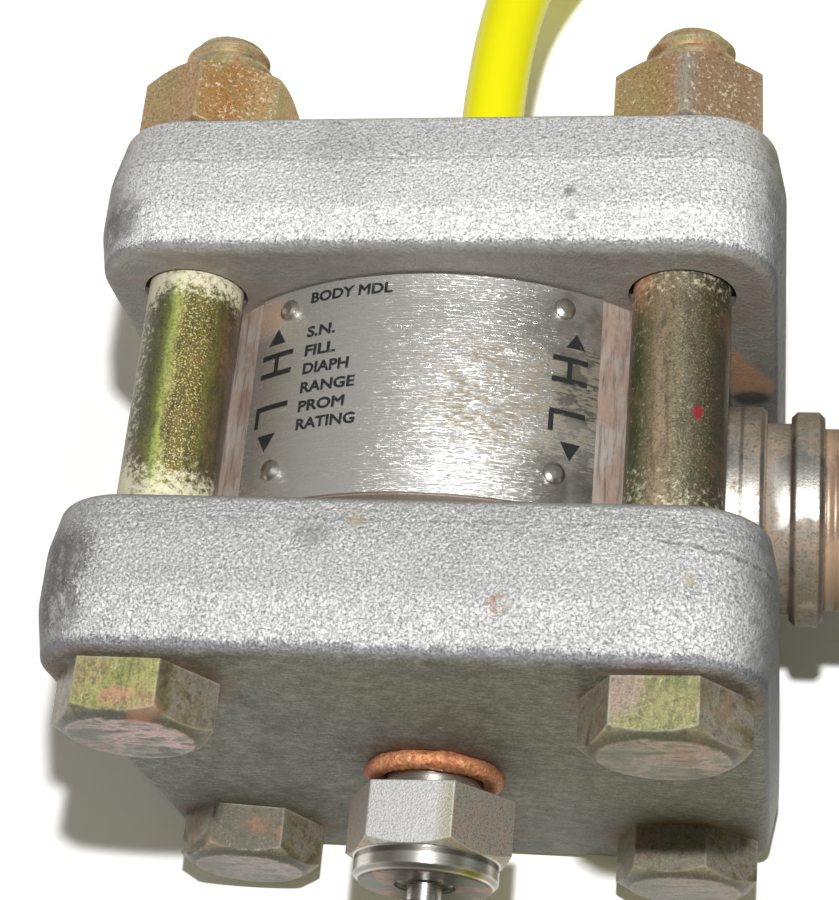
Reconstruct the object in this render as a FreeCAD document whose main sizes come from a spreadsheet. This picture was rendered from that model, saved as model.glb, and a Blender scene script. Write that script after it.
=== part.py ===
"""Differential pressure transmitter with two sheathed capillaries, lying on its heads.

Frame: +Z up, +X along the neck towards the electronics housing, +Y towards the high side head.
The origin is on the resting plane, under the middle of the meter body. Lengths are in millimetres.
"""
import FreeCAD
import Part
import Sketcher

import math
import os

V = FreeCAD.Vector
X_AXIS, Y_AXIS, Z_AXIS = V(1, 0, 0), V(0, 1, 0), V(0, 0, 1)

# Driving sizes, each written once. Lengths in mm, angles in degrees.
SIZES = {
    # Meter body and its neck
    "meter_radius": 33.5,
    "meter_length": 30.0,
    "collar_radius": 13.6,
    "collar_end": 38.1,
    "groove_radius": 11.6,
    "groove_width": 2.8,
    "ring_radius": 13.0,
    "ring_width": 4.0,
    "ring_chamfer": 0.7,
    "neck_radius": 11.0,
    "neck_length": 27.0,
    "neck_chamfer": 1.0,
    "neck_root": 2.0,
    "pocket_radius": 7.5,
    "pocket_depth": 18.0,
    "passage_radius": 1.0,
    "passage_apart": 8.0,
    "passage_x": 10.0,
    # Barrier diaphragms and head gaskets
    "diaphragm_radius": 26.0,
    "diaphragm_thick": 0.3,
    "diaphragm_rim": 3.0,
    "diaphragm_wave": 0.35,
    "seat_depth": 0.8,
    "fill_depth": 1.0,
    "gasket_inner": 27.6,
    "gasket_outer": 30.6,
    "gasket_thick": 2.0,
    # Cast process heads
    "head_width": 80.0,
    "head_thick": 18.0,
    "head_crease": 5.3,
    "head_band": 6.4,
    "head_corner": 10.0,
    "head_draft": 11.0,
    "head_soft": 8.0,
    "head_outer_edge": 1.2,
    "head_inner_edge": 1.4,
    "dish_radius": 24.0,
    "dish_depth": 2.5,
    "port_radius": 5.6,
    "land_length": 52.0,
    "land_height": 4.0,
    "bracket_apart": 28.6,
    "bracket_hole": 4.95,
    "bracket_inset": 7.5,
    "bracket_depth": 10.5,
    # Head bolts and nuts
    "bolt_apart": 57.0,
    "bolt_radius": 5.55,
    "bolt_hole": 6.1,
    "bolt_flats": 15.9,
    "bolt_head": 6.5,
    "bolt_head_bite": 1.1,
    "hex_bite": 0.25,
    "bolt_stands_out": 7.0,
    "bolt_dome": 1.4,
    "thread_depth": 0.85,
    "thread_length": 24.0,
    "nut_flats": 17.0,
    "nut_height": 9.5,
    # Nameplate and its drive rivets
    "plate_thick": 0.6,
    "plate_length": 27.0,
    "plate_shift": 1.2,
    "plate_angle": 72.0,
    "plate_turn": -1.0,
    "rivet_turn": 28.0,
    "rivet_apart": 20.4,
    "rivet_shift": 2.0,
    "rivet_radius": 0.9,
    "rivet_head": 1.3,
    "rivet_rise": 0.7,
    "rivet_depth": 3.0,
    # Capillary connections on the heads
    "washer_radius": 8.3,
    "washer_thick": 2.2,
    "washer_round": 0.8,
    "shoulder_radius": 5.8,
    "shoulder_length": 1.8,
    "fitting_flats": 17.46,
    "fitting_hex": 7.4,
    "fitting_turn": -6.5,
    "fitting_collar": 8.5,
    "fitting_collar_length": 2.8,
    "fitting_chamfer": 0.8,
    "fitting_stub": 10.0,
    "tube_radius": 2.0,
    "tube_bore": 0.8,
    "tube_shows": 2.5,
    "sleeve_radius": 5.2,
    "sleeve_length": 4.0,
    "sleeve_grip": 2.5,
    # Sheathed capillary leads and their tied hanks
    "sheath_radius": 4.25,
    "layer_pitch": 8.6,
    "layers": 4,
    "fold_radius": 26.0,
    "hank_left": -8.0,
    "high_hank_run": 115.0,
    "high_hank_y": 115.28,
    "low_hank_run": 111.0,
    "low_hank_y": -149.8,
    "tie_thick": 1.2,
    "tie_width": 4.6,
    "tie_x": 82.0,
    "end_radius": 4.6,
    "end_length": 15.0,
    "end_tip_radius": 2.4,
    "end_tip": 8.0,
    # Electronics housing on the neck
    "housing_x": 104.0,
    "housing_half": 45.0,
    "housing_chamfer": 1.5,
    "barrel_step": 3.0,
    "spigot_wall": 3.5,
    "spigot_length": 11.0,
    "wall_middle": -14.0,
    "wall_thick": 4.0,
    "socket_radius": 17.0,
    "socket_start": 55.0,
    "conduit_y": -28.0,
    "conduit_boss": 15.0,
    "conduit_stands": 1.4,
    "conduit_radius": 10.4,
    "plug_length": 7.0,
    "plug_sunk": 0.6,
    "plug_socket": 10.0,
    "set_screw_x": 62.0,
    "set_screw_radius": 2.5,
    "set_screw_socket": 2.5,
    "earth_pad_radius": 6.5,
    "earth_pad_stands": 2.5,
    "earth_screw_radius": 2.0,
    "earth_head_radius": 4.0,
    "earth_head_height": 2.6,
    "earth_screw_depth": 6.0,
    "earth_clamp_radius": 5.2,
    "earth_clamp_thick": 1.2,
    # Screwed covers
    "cover_radius": 39.0,
    "cover_wall": 4.7,
    "cover_end": 4.0,
    "cover_room": 5.0,
    "cover_chamfer": 2.0,
    "cover_grips": 12,
    "grip_radius": 5.0,
    "grip_depth": 1.6,
    "grip_length": 13.0,
    "cover_seal_section": 0.9,
    "cover_seal_inset": 3.0,
    # Inside the housing
    "block_gap": 3.5,
    "block_thick": 9.0,
    "rib_height": 5.0,
    "rib_thick": 2.0,
    "rib_length": 22.0,
    "terminal_apart": 13.0,
    "terminal_radius": 3.2,
    "terminal_height": 2.4,
    "module_gap": 1.5,
    "module_length": 30.0,
    "board_gap": 3.0,
    "board_thick": 1.6,
    "post_radius": 2.5,
    "post_height": 8.0,
    "post_inset": 5.5,
    "header_flange": 1.5,
    "header_body": 6.0,
    "header_step": 1.0,
    "pin_radius": 0.5,
    "pin_length": 9.0,
    "pin_sunk": 2.0,
    "pin_circle": 3.6,
    "neck_seal_section": 1.0,
    "neck_seal_x": 67.0,
    # Clearances
    "fit": 0.05,
    "gap": 0.3,
    "past": 1.0,
}

# Turn of each hexagon about its bolt, in degrees, by (side of X, side of Z)
BOLT_TURNS = {(-1, 1): 0.0, (1, 1): -5.0, (-1, -1): 8.0, (1, -1): -12.0}
NUT_TURNS = {(-1, 1): 27.0, (1, 1): 30.0, (-1, -1): 4.0, (1, -1): 22.0}
CORNERS = tuple(BOLT_TURNS)

# Routes of the two leads, from the sleeve to the first run of the hank
HIGH_ROUTE = (
    (0.0, 51.2, 40.0),
    (0.0, 74.2, 40.0),
    (7.65, 93.1, 39.3),
    (21.8, 107.2, 37.4),
    (40.3, 115.28, 34.6),
    (60.3, 115.28, 32.2),
    (80.0, 115.28, 31.25),
)
LOW_ROUTE = (
    (0.0, -51.2, 40.0),
    (0.0, -73.0, 40.0),
    (0.5, -91.5, 42.8),
    (1.4, -109.5, 43.0),
    (9.1, -128.0, 41.0),
    (23.2, -142.1, 37.6),
    (41.7, -149.8, 34.4),
    (61.7, -149.8, 32.2),
    (81.0, -149.8, 31.25),
)
ARC_SHARE = 0.45

doc = FreeCAD.newDocument("pressure_transmitter")
sheet = doc.addObject("Spreadsheet::Sheet", "Sizes")
pieces = []


class Dim:
    """A size that knows its value and the expression that ties it to the sheet."""

    def __init__(self, value, text):
        self.value = value
        self.text = text

    @staticmethod
    def of(other):
        return other if isinstance(other, Dim) else Dim(float(other), repr(float(other)))

    def joined(self, other, sign, value):
        return Dim(value, f"({self.text} {sign} {other.text})")

    def __add__(self, other):
        other = Dim.of(other)
        return self.joined(other, "+", self.value + other.value)

    def __sub__(self, other):
        other = Dim.of(other)
        return self.joined(other, "-", self.value - other.value)

    def __mul__(self, other):
        other = Dim.of(other)
        return self.joined(other, "*", self.value * other.value)

    def __truediv__(self, other):
        other = Dim.of(other)
        return self.joined(other, "/", self.value / other.value)

    def __radd__(self, other):
        return Dim.of(other) + self

    def __rsub__(self, other):
        return Dim.of(other) - self

    def __rmul__(self, other):
        return Dim.of(other) * self

    def __neg__(self):
        return 0.0 - self


class Sizes:
    """The sheet's cells as attributes, each one a Dim."""

    def __init__(self, values):
        for row, (alias, value) in enumerate(values.items(), start=1):
            sheet.set(f"A{row}", alias.replace("_", " "))
            sheet.set(f"B{row}", str(value))
            sheet.setAlias(f"B{row}", alias)
            setattr(self, alias, Dim(float(value), f"Sizes.{alias}"))


s = Sizes(SIZES)
doc.recompute()


# Shared positions, worked out from the driving sizes
axis_z = s.head_width / 2
inner_face = s.meter_length / 2
outer_face = inner_face + s.head_thick
bolt_half = s.bolt_apart / 2
ring_start = s.collar_end + s.groove_width
ring_end = ring_start + s.ring_width
neck_end = ring_end + s.neck_length
shoulder_start = s.washer_thick
hex_start = shoulder_start + s.shoulder_length
collar_start = hex_start + s.fitting_hex
fitting_end = collar_start + s.fitting_collar_length
sleeve_start = fitting_end + s.tube_shows
sheath_start = sleeve_start + s.sleeve_length - s.sleeve_grip
hank_height = (s.layers - 1) * s.layer_pitch + 2 * s.sheath_radius
cover_rim = s.housing_half + s.gap
cover_inside = s.housing_half + s.spigot_length + s.cover_room
cover_face = cover_inside + s.cover_end
cover_bore = s.cover_radius - s.cover_wall
spigot_radius = cover_bore - s.gap
housing_bore = spigot_radius - s.spigot_wall
housing_radius = s.cover_radius - s.barrel_step
conduit_reach = housing_radius + s.conduit_stands
earth_pad_reach = housing_radius + s.earth_pad_stands
block_radius = housing_bore - s.block_gap
module_radius = housing_bore - s.module_gap
board_radius = housing_bore - s.board_gap
post_circle = board_radius - s.post_inset
thread_root = s.bolt_radius - s.thread_depth
cover_seal_outer = cover_bore - s.fit
neck_seal_outer = s.neck_radius + s.fit / 2
wall_front = s.wall_middle - s.wall_thick / 2
wall_rear = s.wall_middle + s.wall_thick / 2
seat_radius = s.diaphragm_radius + s.fit
plate_outer = s.meter_radius + s.plate_thick

TO_Y = FreeCAD.Rotation(X_AXIS, -90)
TO_MINUS_Y = FreeCAD.Rotation(X_AXIS, 90)
TO_X = FreeCAD.Rotation(Y_AXIS, 90)
LEVEL = FreeCAD.Rotation()
HALF_TURN = FreeCAD.Rotation(Z_AXIS, 180)


def bind(obj, **sizes):
    """Tie an object's properties to the sheet."""
    for name, size in sizes.items():
        obj.setExpression(name, Dim.of(size).text)
    return obj


def place(obj, x=0, y=0, z=0, turn=LEVEL):
    """Put an object where the sizes say, turned about its own origin."""
    spots = [Dim.of(size) for size in (x, y, z)]
    obj.Placement = FreeCAD.Placement(V(*[spot.value for spot in spots]), turn)
    for letter, spot in zip("xyz", spots):
        obj.setExpression(f".Placement.Base.{letter}", spot.text)
    return obj


def cylinder(name, radius, height, x=0, y=0, z=0, turn=LEVEL):
    """A plain cylinder along its own Z."""
    obj = doc.addObject("Part::Cylinder", name)
    bind(obj, Radius=radius, Height=height)
    return place(obj, x, y, z, turn)


def box(name, size, x=0, y=0, z=0):
    """A box from its lowest corner."""
    obj = doc.addObject("Part::Box", name)
    bind(obj, Length=size[0], Width=size[1], Height=size[2])
    return place(obj, x, y, z)


def hexagon(name, flats, height, z=0):
    """A hexagonal prism along Z with a flat facing +Y, given across its flats."""
    obj = doc.addObject("Part::Prism", name)
    obj.Polygon = 6
    bind(obj, Circumradius=flats / math.sqrt(3), Height=height)
    return place(obj, 0, 0, z, LEVEL)


def torus(name, radius, section, x=0, y=0, z=0, turn=LEVEL):
    """A ring of round section about its own Z."""
    obj = doc.addObject("Part::Torus", name)
    bind(obj, Radius1=radius, Radius2=section)
    return place(obj, x, y, z, turn)


def fuse(name, *shapes):
    """Several shapes as one solid."""
    obj = doc.addObject("Part::MultiFuse", name)
    obj.Shapes = list(shapes)
    obj.Refine = True
    return obj


def cut(name, base, *tools):
    """A shape with one or more tools taken out of it."""
    obj = doc.addObject("Part::Cut", name)
    obj.Base = base
    obj.Tool = tools[0] if len(tools) == 1 else fuse(f"{name}_tools", *tools)
    return obj


def common(name, one, other):
    """What two shapes share."""
    obj = doc.addObject("Part::Common", name)
    obj.Base = one
    obj.Tool = other
    return obj


def group(name, members):
    """Like pieces in one node, as separate solids."""
    obj = doc.addObject("Part::Compound", name)
    obj.Links = list(members)
    return obj


def piece(label, obj):
    """Name a finished sub-part, which also names its file."""
    obj.Label = label
    pieces.append(obj)
    return obj


def shape_piece(label, shape):
    """A sub-part whose shape is worked out in code."""
    obj = doc.addObject("Part::Feature", f"{label}_shape")
    obj.Shape = shape
    return piece(label, obj)


def origin_plane(body, role):
    """One of a body's own origin planes."""
    return next(item for item in body.Origin.OriginFeatures if item.Role == role)


def outline(body, name, points, role="XY_Plane"):
    """A closed sketch of straight sides whose corners are tied to the sheet."""
    sketch = body.newObject("Sketcher::SketchObject", name)
    sketch.AttachmentSupport = (origin_plane(body, role), [""])
    sketch.MapMode = "FlatFace"
    corners = [(Dim.of(x), Dim.of(y)) for x, y in points]
    spots = [V(x.value, y.value, 0) for x, y in corners]
    for start, end in zip(spots, spots[1:] + spots[:1]):
        sketch.addGeometry(Part.LineSegment(start, end), False)
    for side in range(len(spots)):
        following = (side + 1) % len(spots)
        sketch.addConstraint(Sketcher.Constraint("Coincident", side, 2, following, 1))
    for side, corner in enumerate(corners):
        for kind, size in zip(("DistanceX", "DistanceY"), corner):
            index = sketch.addConstraint(Sketcher.Constraint(kind, -1, 1, side, 1, size.value))
            sketch.setExpression(f"Constraints[{index}]", size.text)
    return sketch


def turned(name, points, axis="V_Axis"):
    """A body turned from a half section about one axis of its sketch."""
    body = doc.addObject("PartDesign::Body", name)
    sketch = outline(body, f"{name}_section", points)
    turn = body.newObject("PartDesign::Revolution", f"{name}_turn")
    turn.Profile = sketch
    turn.ReferenceAxis = (sketch, [axis])
    turn.Angle = 360
    body.Tip = turn
    return body


def ring_section(inner, outer, low, high):
    """The half section of a plain ring."""
    return [(inner, low), (outer, low), (outer, high), (inner, high)]


def chamfered_hexagon(name, flats, low, height, chamfer_low, chamfer_high, bite=s.hex_bite):
    """A hexagon along Z with its corners turned off at one or both ends, bite inside its flats."""
    low = Dim.of(low)
    prism = hexagon(f"{name}_prism", flats, height, low)
    inner = flats / 2 - bite
    outer = flats / math.sqrt(3) + s.gap
    drop = (outer - inner) * 0.577
    high = low + height
    points = [(0, low), (inner if chamfer_low else outer, low)]
    if chamfer_low:
        points.append((outer, low + drop))
    if chamfer_high:
        points.append((outer, high - drop))
    points += [(inner if chamfer_high else outer, high), (0, high)]
    cone = place(turned(f"{name}_cone", points), turn=TO_MINUS_Y)
    return common(name, prism, cone)


def meter_body():
    """The stainless meter body: a drum between the heads with a stepped neck along +X."""
    floor = inner_face - s.seat_depth - s.fill_depth
    seat = inner_face - s.seat_depth
    fill_radius = s.diaphragm_radius - s.diaphragm_rim
    drum = place(turned("drum", [
        (0, -floor), (fill_radius, -floor), (fill_radius, -seat), (seat_radius, -seat),
        (seat_radius, -inner_face), (s.meter_radius, -inner_face),
        (s.meter_radius, inner_face), (seat_radius, inner_face), (seat_radius, seat),
        (fill_radius, seat), (fill_radius, floor), (0, floor),
    ]), z=axis_z)
    root = seat_radius + s.neck_root
    pocket = neck_end - s.pocket_depth
    seal_floor = neck_seal_outer - 2 * s.neck_seal_section
    seal_low, seal_high = s.neck_seal_x - s.neck_seal_section, s.neck_seal_x + s.neck_seal_section
    neck = place(turned("neck", [
        (root, 0), (root, s.collar_radius), (s.collar_end - s.ring_chamfer, s.collar_radius),
        (s.collar_end, s.collar_radius - s.ring_chamfer), (s.collar_end, s.groove_radius),
        (ring_start, s.groove_radius), (ring_start, s.ring_radius - s.ring_chamfer),
        (ring_start + s.ring_chamfer, s.ring_radius), (ring_end - s.ring_chamfer, s.ring_radius),
        (ring_end, s.ring_radius - s.ring_chamfer), (ring_end, s.neck_radius),
        (seal_low, s.neck_radius), (seal_low, seal_floor),
        (seal_high, seal_floor), (seal_high, s.neck_radius),
        (neck_end - s.neck_chamfer, s.neck_radius), (neck_end, s.neck_radius - s.neck_chamfer),
        (neck_end, s.pocket_radius), (pocket, s.pocket_radius), (pocket, 0),
    ], "H_Axis"), z=axis_z)
    tools = []
    for side in (-1, 1):
        lane = side * s.passage_apart / 2
        start = lane if side > 0 else lane - inner_face
        tools.append(cylinder(f"passage_across_{side}", s.passage_radius, inner_face,
                              s.passage_x, start, axis_z, TO_Y))
        tools.append(cylinder(f"passage_along_{side}", s.passage_radius, pocket - s.passage_x + s.gap,
                              s.passage_x, lane, axis_z, TO_X))
    tools += [rivet_hole(f"rivet_seat_{index}", *spot) for index, spot in enumerate(rivet_spots())]
    piece("meter_body", cut("meter_body_cut", fuse("drum_and_neck", drum, neck), *tools))


def diaphragm_section(sign):
    """Half section of a thin corrugated disc, as its two zigzag sides."""
    seat = inner_face - s.seat_depth
    middle = s.diaphragm_radius - s.diaphragm_rim
    waves = 5
    rings = [(middle * (waves - step) / waves, step % 2) for step in range(waves)]
    radii = [(s.diaphragm_radius, 0)] + rings
    lower = [(radius, sign * (seat + lift * s.diaphragm_wave)) for radius, lift in radii]
    upper = [(radius, sign * (seat + s.diaphragm_thick + lift * s.diaphragm_wave)) for radius, lift in radii]
    last_lift = s.diaphragm_wave * (waves % 2)
    centre = [(0, sign * (seat + last_lift)), (0, sign * (seat + s.diaphragm_thick + last_lift))]
    return lower + centre + upper[::-1]


def diaphragms_and_gaskets():
    """A barrier diaphragm welded into each face, and the gasket that seals the head to it."""
    for name, sign in (("high_side", 1), ("low_side", -1)):
        piece(f"{name}_diaphragm", place(turned(f"{name}_disc", diaphragm_section(sign)), z=axis_z))
        low, high = inner_face * sign, (inner_face + s.gasket_thick) * sign
        points = ring_section(s.gasket_inner, s.gasket_outer, low, high)
        piece(f"{name}_gasket", place(turned(f"{name}_seal", points), z=axis_z))


def rounded_square(body, name, half, corner, height):
    """A square sketch with round corners, on a plane parallel to the body's own XY plane."""
    sketch = body.newObject("Sketcher::SketchObject", name)
    sketch.AttachmentSupport = (origin_plane(body, "XY_Plane"), [""])
    sketch.MapMode = "FlatFace"
    sketch.setExpression(".AttachmentOffset.Base.z", height.text)
    side, radius = half.value, corner.value
    flat = side - radius
    centres = [(flat, flat), (-flat, flat), (-flat, -flat), (flat, -flat)]
    for quarter, (x, y) in enumerate(centres):
        start = quarter * math.pi / 2
        circle = Part.Circle(V(x, y, 0), Z_AXIS, radius)
        sketch.addGeometry(Part.ArcOfCircle(circle, start, start + math.pi / 2), False)
    arcs = [sketch.Geometry[index] for index in range(4)]
    for quarter in range(4):
        line = Part.LineSegment(arcs[quarter].EndPoint, arcs[(quarter + 1) % 4].StartPoint)
        sketch.addGeometry(line, False)
    for quarter in range(4):
        sketch.addConstraint(Sketcher.Constraint("Tangent", quarter, 2, 4 + quarter, 1))
        sketch.addConstraint(Sketcher.Constraint("Tangent", 4 + quarter, 2, (quarter + 1) % 4, 1))
        index = sketch.addConstraint(Sketcher.Constraint("Radius", quarter, radius))
        sketch.setExpression(f"Constraints[{index}]", corner.text)
        for kind, centre, sign in zip(("DistanceX", "DistanceY"), centres[quarter], centres[quarter]):
            index = sketch.addConstraint(Sketcher.Constraint(kind, -1, 1, quarter, 3, centre))
            size = half - corner if sign > 0 else corner - half
            sketch.setExpression(f"Constraints[{index}]", size.text)
    return sketch


def drafted_pad(body, name, sketch, length, reverse, draft):
    """A pad that narrows with its draft as it leaves its sketch."""
    pad = body.newObject("PartDesign::Pad", name)
    pad.Profile = sketch
    pad.Reversed = reverse
    bind(pad, Length=length, TaperAngle=-Dim.of(draft))
    body.Tip = pad
    doc.recompute()
    return pad


def edges_at(shape, height):
    """Names of the edges that lie in a plane of constant Z."""
    names = []
    for index, edge in enumerate(shape.Edges, start=1):
        bounds = edge.BoundBox
        if abs(bounds.ZMin - height) < 1e-4 and abs(bounds.ZMax - height) < 1e-4:
            names.append(f"Edge{index}")
    return names


def rounded_edges(body, name, base, height, radius):
    """A fillet round the rim of the casting at one height."""
    fillet = body.newObject("PartDesign::Fillet", name)
    fillet.Base = (base, edges_at(base.Shape, height))
    bind(fillet, Radius=radius)
    body.Tip = fillet
    doc.recompute()
    return fillet


def casting(name):
    """A square cast head: a plain band round its middle, drafted from there to both faces."""
    body = doc.addObject("PartDesign::Body", f"{name}_casting")
    half = s.head_width / 2
    outer_crease = s.head_crease + s.head_band
    plan = rounded_square(body, f"{name}_plan", half, s.head_corner, s.head_crease)
    upper = rounded_square(body, f"{name}_upper_plan", half, s.head_corner, outer_crease)
    doc.recompute()
    drafted_pad(body, f"{name}_band", plan, s.head_band, False, 0)
    drafted_pad(body, f"{name}_outer", upper, s.head_thick - outer_crease, False, s.head_draft)
    blank = drafted_pad(body, f"{name}_inner", plan, s.head_crease, True, s.head_draft)
    for rim, height, radius in (
        ("inner_crease", s.head_crease.value, s.head_soft),
        ("outer_crease", outer_crease.value, s.head_soft),
        ("outer_rim", s.head_thick.value, s.head_outer_edge),
        ("inner_rim", 0.0, s.head_inner_edge),
    ):
        blank = rounded_edges(body, f"{name}_{rim}", blank, height, radius)
    return body


def process_head(name, turn, side):
    """One head with its bolt holes, gasket groove, fill dish, centre port and bracket holes."""
    land_top = s.land_height - s.head_width / 2
    land_thick = s.head_thick - s.head_outer_edge - s.head_inner_edge
    land = box(f"{name}_land", (s.land_length, s.land_height, land_thick),
               -s.land_length / 2, land_top - s.land_height, s.head_inner_edge)
    blank = fuse(f"{name}_blank", casting(name), land)
    tools = [
        cylinder(f"{name}_bolt_hole_{x}_{y}", s.bolt_hole, s.head_thick + 2 * s.past,
                 x * bolt_half, y * bolt_half, -s.past)
        for x, y in CORNERS
    ]
    groove_outer, groove_inner = s.gasket_outer + s.fit, s.gasket_inner - s.fit
    groove = turned(f"{name}_groove", ring_section(groove_inner, groove_outer, 0, s.gasket_thick))
    port, beyond = s.port_radius + s.fit, s.head_thick + s.past
    dish = turned(f"{name}_dish", [
        (0, 0), (s.dish_radius, 0), (s.dish_radius - s.dish_depth, s.dish_depth / 2),
        (port, s.dish_depth), (port, beyond), (0, beyond),
    ])
    tools += [place(tool, turn=TO_MINUS_Y) for tool in (groove, dish)]
    tools += [
        cylinder(f"{name}_bracket_hole_{x}", s.bracket_hole, s.bracket_depth,
                 x * s.bracket_apart / 2, -s.head_width / 2, s.bracket_inset, TO_Y)
        for x in (-1, 1)
    ]
    head = cut(f"{name}_cut", blank, *tools)
    piece(name, place(head, 0, side * inner_face, axis_z, turn))


def process_heads():
    """The two heads are one casting, turned to face each other."""
    process_head("low_side_head", TO_MINUS_Y, -1)
    process_head("high_side_head", HALF_TURN.multiply(TO_MINUS_Y), 1)


def head_bolts():
    """Four hexagon bolts through both heads, with their heads on the low side."""
    length = 2 * outer_face + s.nut_height + s.bolt_stands_out
    thread_start = length - s.thread_length
    bolts = []
    for x, z in CORNERS:
        name = f"bolt_{x}_{z}"
        shank = place(turned(f"{name}_shank", [
            (0, -s.past), (s.bolt_radius, -s.past), (s.bolt_radius, thread_start - s.thread_depth),
            (thread_root, thread_start), (thread_root, length - s.bolt_dome),
            (thread_root - s.bolt_dome * 0.35, length - s.bolt_dome * 0.4),
            (thread_root - s.bolt_dome, length - s.bolt_dome * 0.1),
            (thread_root - s.bolt_dome * 2, length), (0, length),
        ]), turn=TO_MINUS_Y)
        head = chamfered_hexagon(f"{name}_head", s.bolt_flats, -s.bolt_head, s.bolt_head, True, False,
                                 s.bolt_head_bite)
        spin = FreeCAD.Rotation(Z_AXIS, BOLT_TURNS[x, z])
        bolt = fuse(name, shank, head)
        bolts.append(place(bolt, x * bolt_half, -outer_face, axis_z + z * bolt_half, TO_Y.multiply(spin)))
    piece("head_bolts", group("bolts", bolts))


def head_nuts():
    """A nut on the end of each bolt, seated on the high side head."""
    nuts = []
    for x, z in CORNERS:
        name = f"nut_{x}_{z}"
        blank = chamfered_hexagon(f"{name}_blank", s.nut_flats, 0, s.nut_height, True, True)
        bore = cylinder(f"{name}_bore", thread_root + s.fit, s.nut_height + 2 * s.past, 0, 0, -s.past)
        spin = FreeCAD.Rotation(Z_AXIS, NUT_TURNS[x, z])
        nut = cut(name, blank, bore)
        nuts.append(place(nut, x * bolt_half, outer_face, axis_z + z * bolt_half, TO_Y.multiply(spin)))
    piece("head_nuts", group("nuts", nuts))


def rivet_spots():
    """Turn about the meter body and place along it of each drive rivet."""
    centre, swing = SIZES["plate_turn"], SIZES["rivet_turn"]
    return [
        (centre + side * swing, s.rivet_shift + end * s.rivet_apart / 2)
        for side in (-1, 1) for end in (-1, 1)
    ]


def radial(turn):
    """The rotation that lays a turned piece along a radius of the meter body."""
    return FreeCAD.Rotation(Y_AXIS, turn).multiply(FreeCAD.Rotation(X_AXIS, 90))


def rivet_hole(name, turn, y):
    """The hole that one rivet is driven into, through the plate and into the drum."""
    low = s.meter_radius - s.rivet_depth - s.gap
    high = plate_outer + s.rivet_rise
    tool = turned(name, [(0, low), (s.rivet_radius + s.fit, low), (s.rivet_radius + s.fit, high), (0, high)])
    return place(tool, 0, y, axis_z, radial(turn))


def nameplate():
    """A curved plate on top of the drum, held by four drive rivets with domed heads."""
    body = doc.addObject("PartDesign::Body", "plate_sheet")
    low, high = s.plate_shift - s.plate_length / 2, s.plate_shift + s.plate_length / 2
    sketch = outline(body, "plate_section", ring_section(s.meter_radius, plate_outer, low, high))
    bend = body.newObject("PartDesign::Revolution", "plate_bend")
    bend.Profile = sketch
    bend.ReferenceAxis = (sketch, ["V_Axis"])
    bend.Midplane = True
    bind(bend, Angle=s.plate_angle)
    body.Tip = bend
    place(body, z=axis_z, turn=FreeCAD.Rotation(Y_AXIS, SIZES["plate_turn"] - 90))
    holes = [rivet_hole(f"plate_hole_{index}", *spot) for index, spot in enumerate(rivet_spots())]
    piece("nameplate", cut("plate_cut", body, *holes))
    rivets = []
    for index, (turn, y) in enumerate(rivet_spots()):
        low, seat, top = s.meter_radius - s.rivet_depth, plate_outer, plate_outer + s.rivet_rise
        rivet = turned(f"rivet_{index}", [
            (0, low), (s.rivet_radius, low), (s.rivet_radius, seat), (s.rivet_head, seat),
            (s.rivet_head * 0.93, seat + s.rivet_rise * 0.45),
            (s.rivet_head * 0.6, seat + s.rivet_rise * 0.85), (0, top),
        ])
        rivets.append(place(rivet, 0, y, axis_z, radial(turn)))
    piece("nameplate_rivets", group("rivets", rivets))


def capillary_connection(name, side, turn):
    """Copper washer, hexagon fitting, bare tube and sheath sleeve on the middle of one head."""
    facing = LEVEL if side > 0 else HALF_TURN

    def seated(part, points):
        return place(turned(f"{name}_{part}_turning", points), 0, side * outer_face, axis_z, facing)

    hole, rim = s.port_radius + s.fit, s.washer_radius - s.washer_round
    washer = [
        (hole, 0), (rim, 0), (s.washer_radius, s.washer_round),
        (s.washer_radius, s.washer_thick - s.washer_round), (rim, s.washer_thick), (hole, s.washer_thick),
    ]
    piece(f"{name}_copper_washer", seated("washer", washer))

    bore = s.tube_radius + s.fit
    lip = s.fitting_collar - s.fitting_chamfer
    recess = fitting_end - s.fitting_chamfer
    spindle = place(turned(f"{name}_spindle", [
        (bore, -s.fitting_stub), (s.port_radius, -s.fitting_stub), (s.port_radius, shoulder_start),
        (s.shoulder_radius, shoulder_start), (s.shoulder_radius, hex_start + s.gap),
        (s.fitting_collar, collar_start - s.gap), (s.fitting_collar, recess), (lip, fitting_end),
        (s.tube_radius * 1.8, fitting_end), (s.tube_radius * 1.8, recess), (bore, recess),
    ]), turn=TO_MINUS_Y)
    block = chamfered_hexagon(f"{name}_hexagon", s.fitting_flats, hex_start, s.fitting_hex, False, True)
    drill = cylinder(f"{name}_drill", bore, fitting_end)
    fitting = cut(f"{name}_fitting_cut", fuse(f"{name}_fitting_solid", spindle, block), drill)
    spin = FreeCAD.Rotation(Z_AXIS, side * SIZES["fitting_turn"])
    place(fitting, 0, side * outer_face, axis_z, turn.multiply(spin))
    piece(f"{name}_capillary_fitting", fitting)

    tube = ring_section(s.tube_bore, s.tube_radius, -s.fitting_stub, sheath_start)
    piece(f"{name}_capillary_tube", seated("tube", tube))

    sleeve_end = sleeve_start + s.sleeve_length
    piece(f"{name}_sheath_sleeve", seated("sleeve", [
        (bore, sleeve_start), (s.sleeve_radius - s.fitting_chamfer, sleeve_start),
        (s.sleeve_radius, sleeve_start + s.fitting_chamfer), (s.sleeve_radius, sleeve_end),
        (s.sheath_radius + s.fit, sleeve_end), (s.sheath_radius + s.fit, sheath_start), (bore, sheath_start),
    ]))


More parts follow.
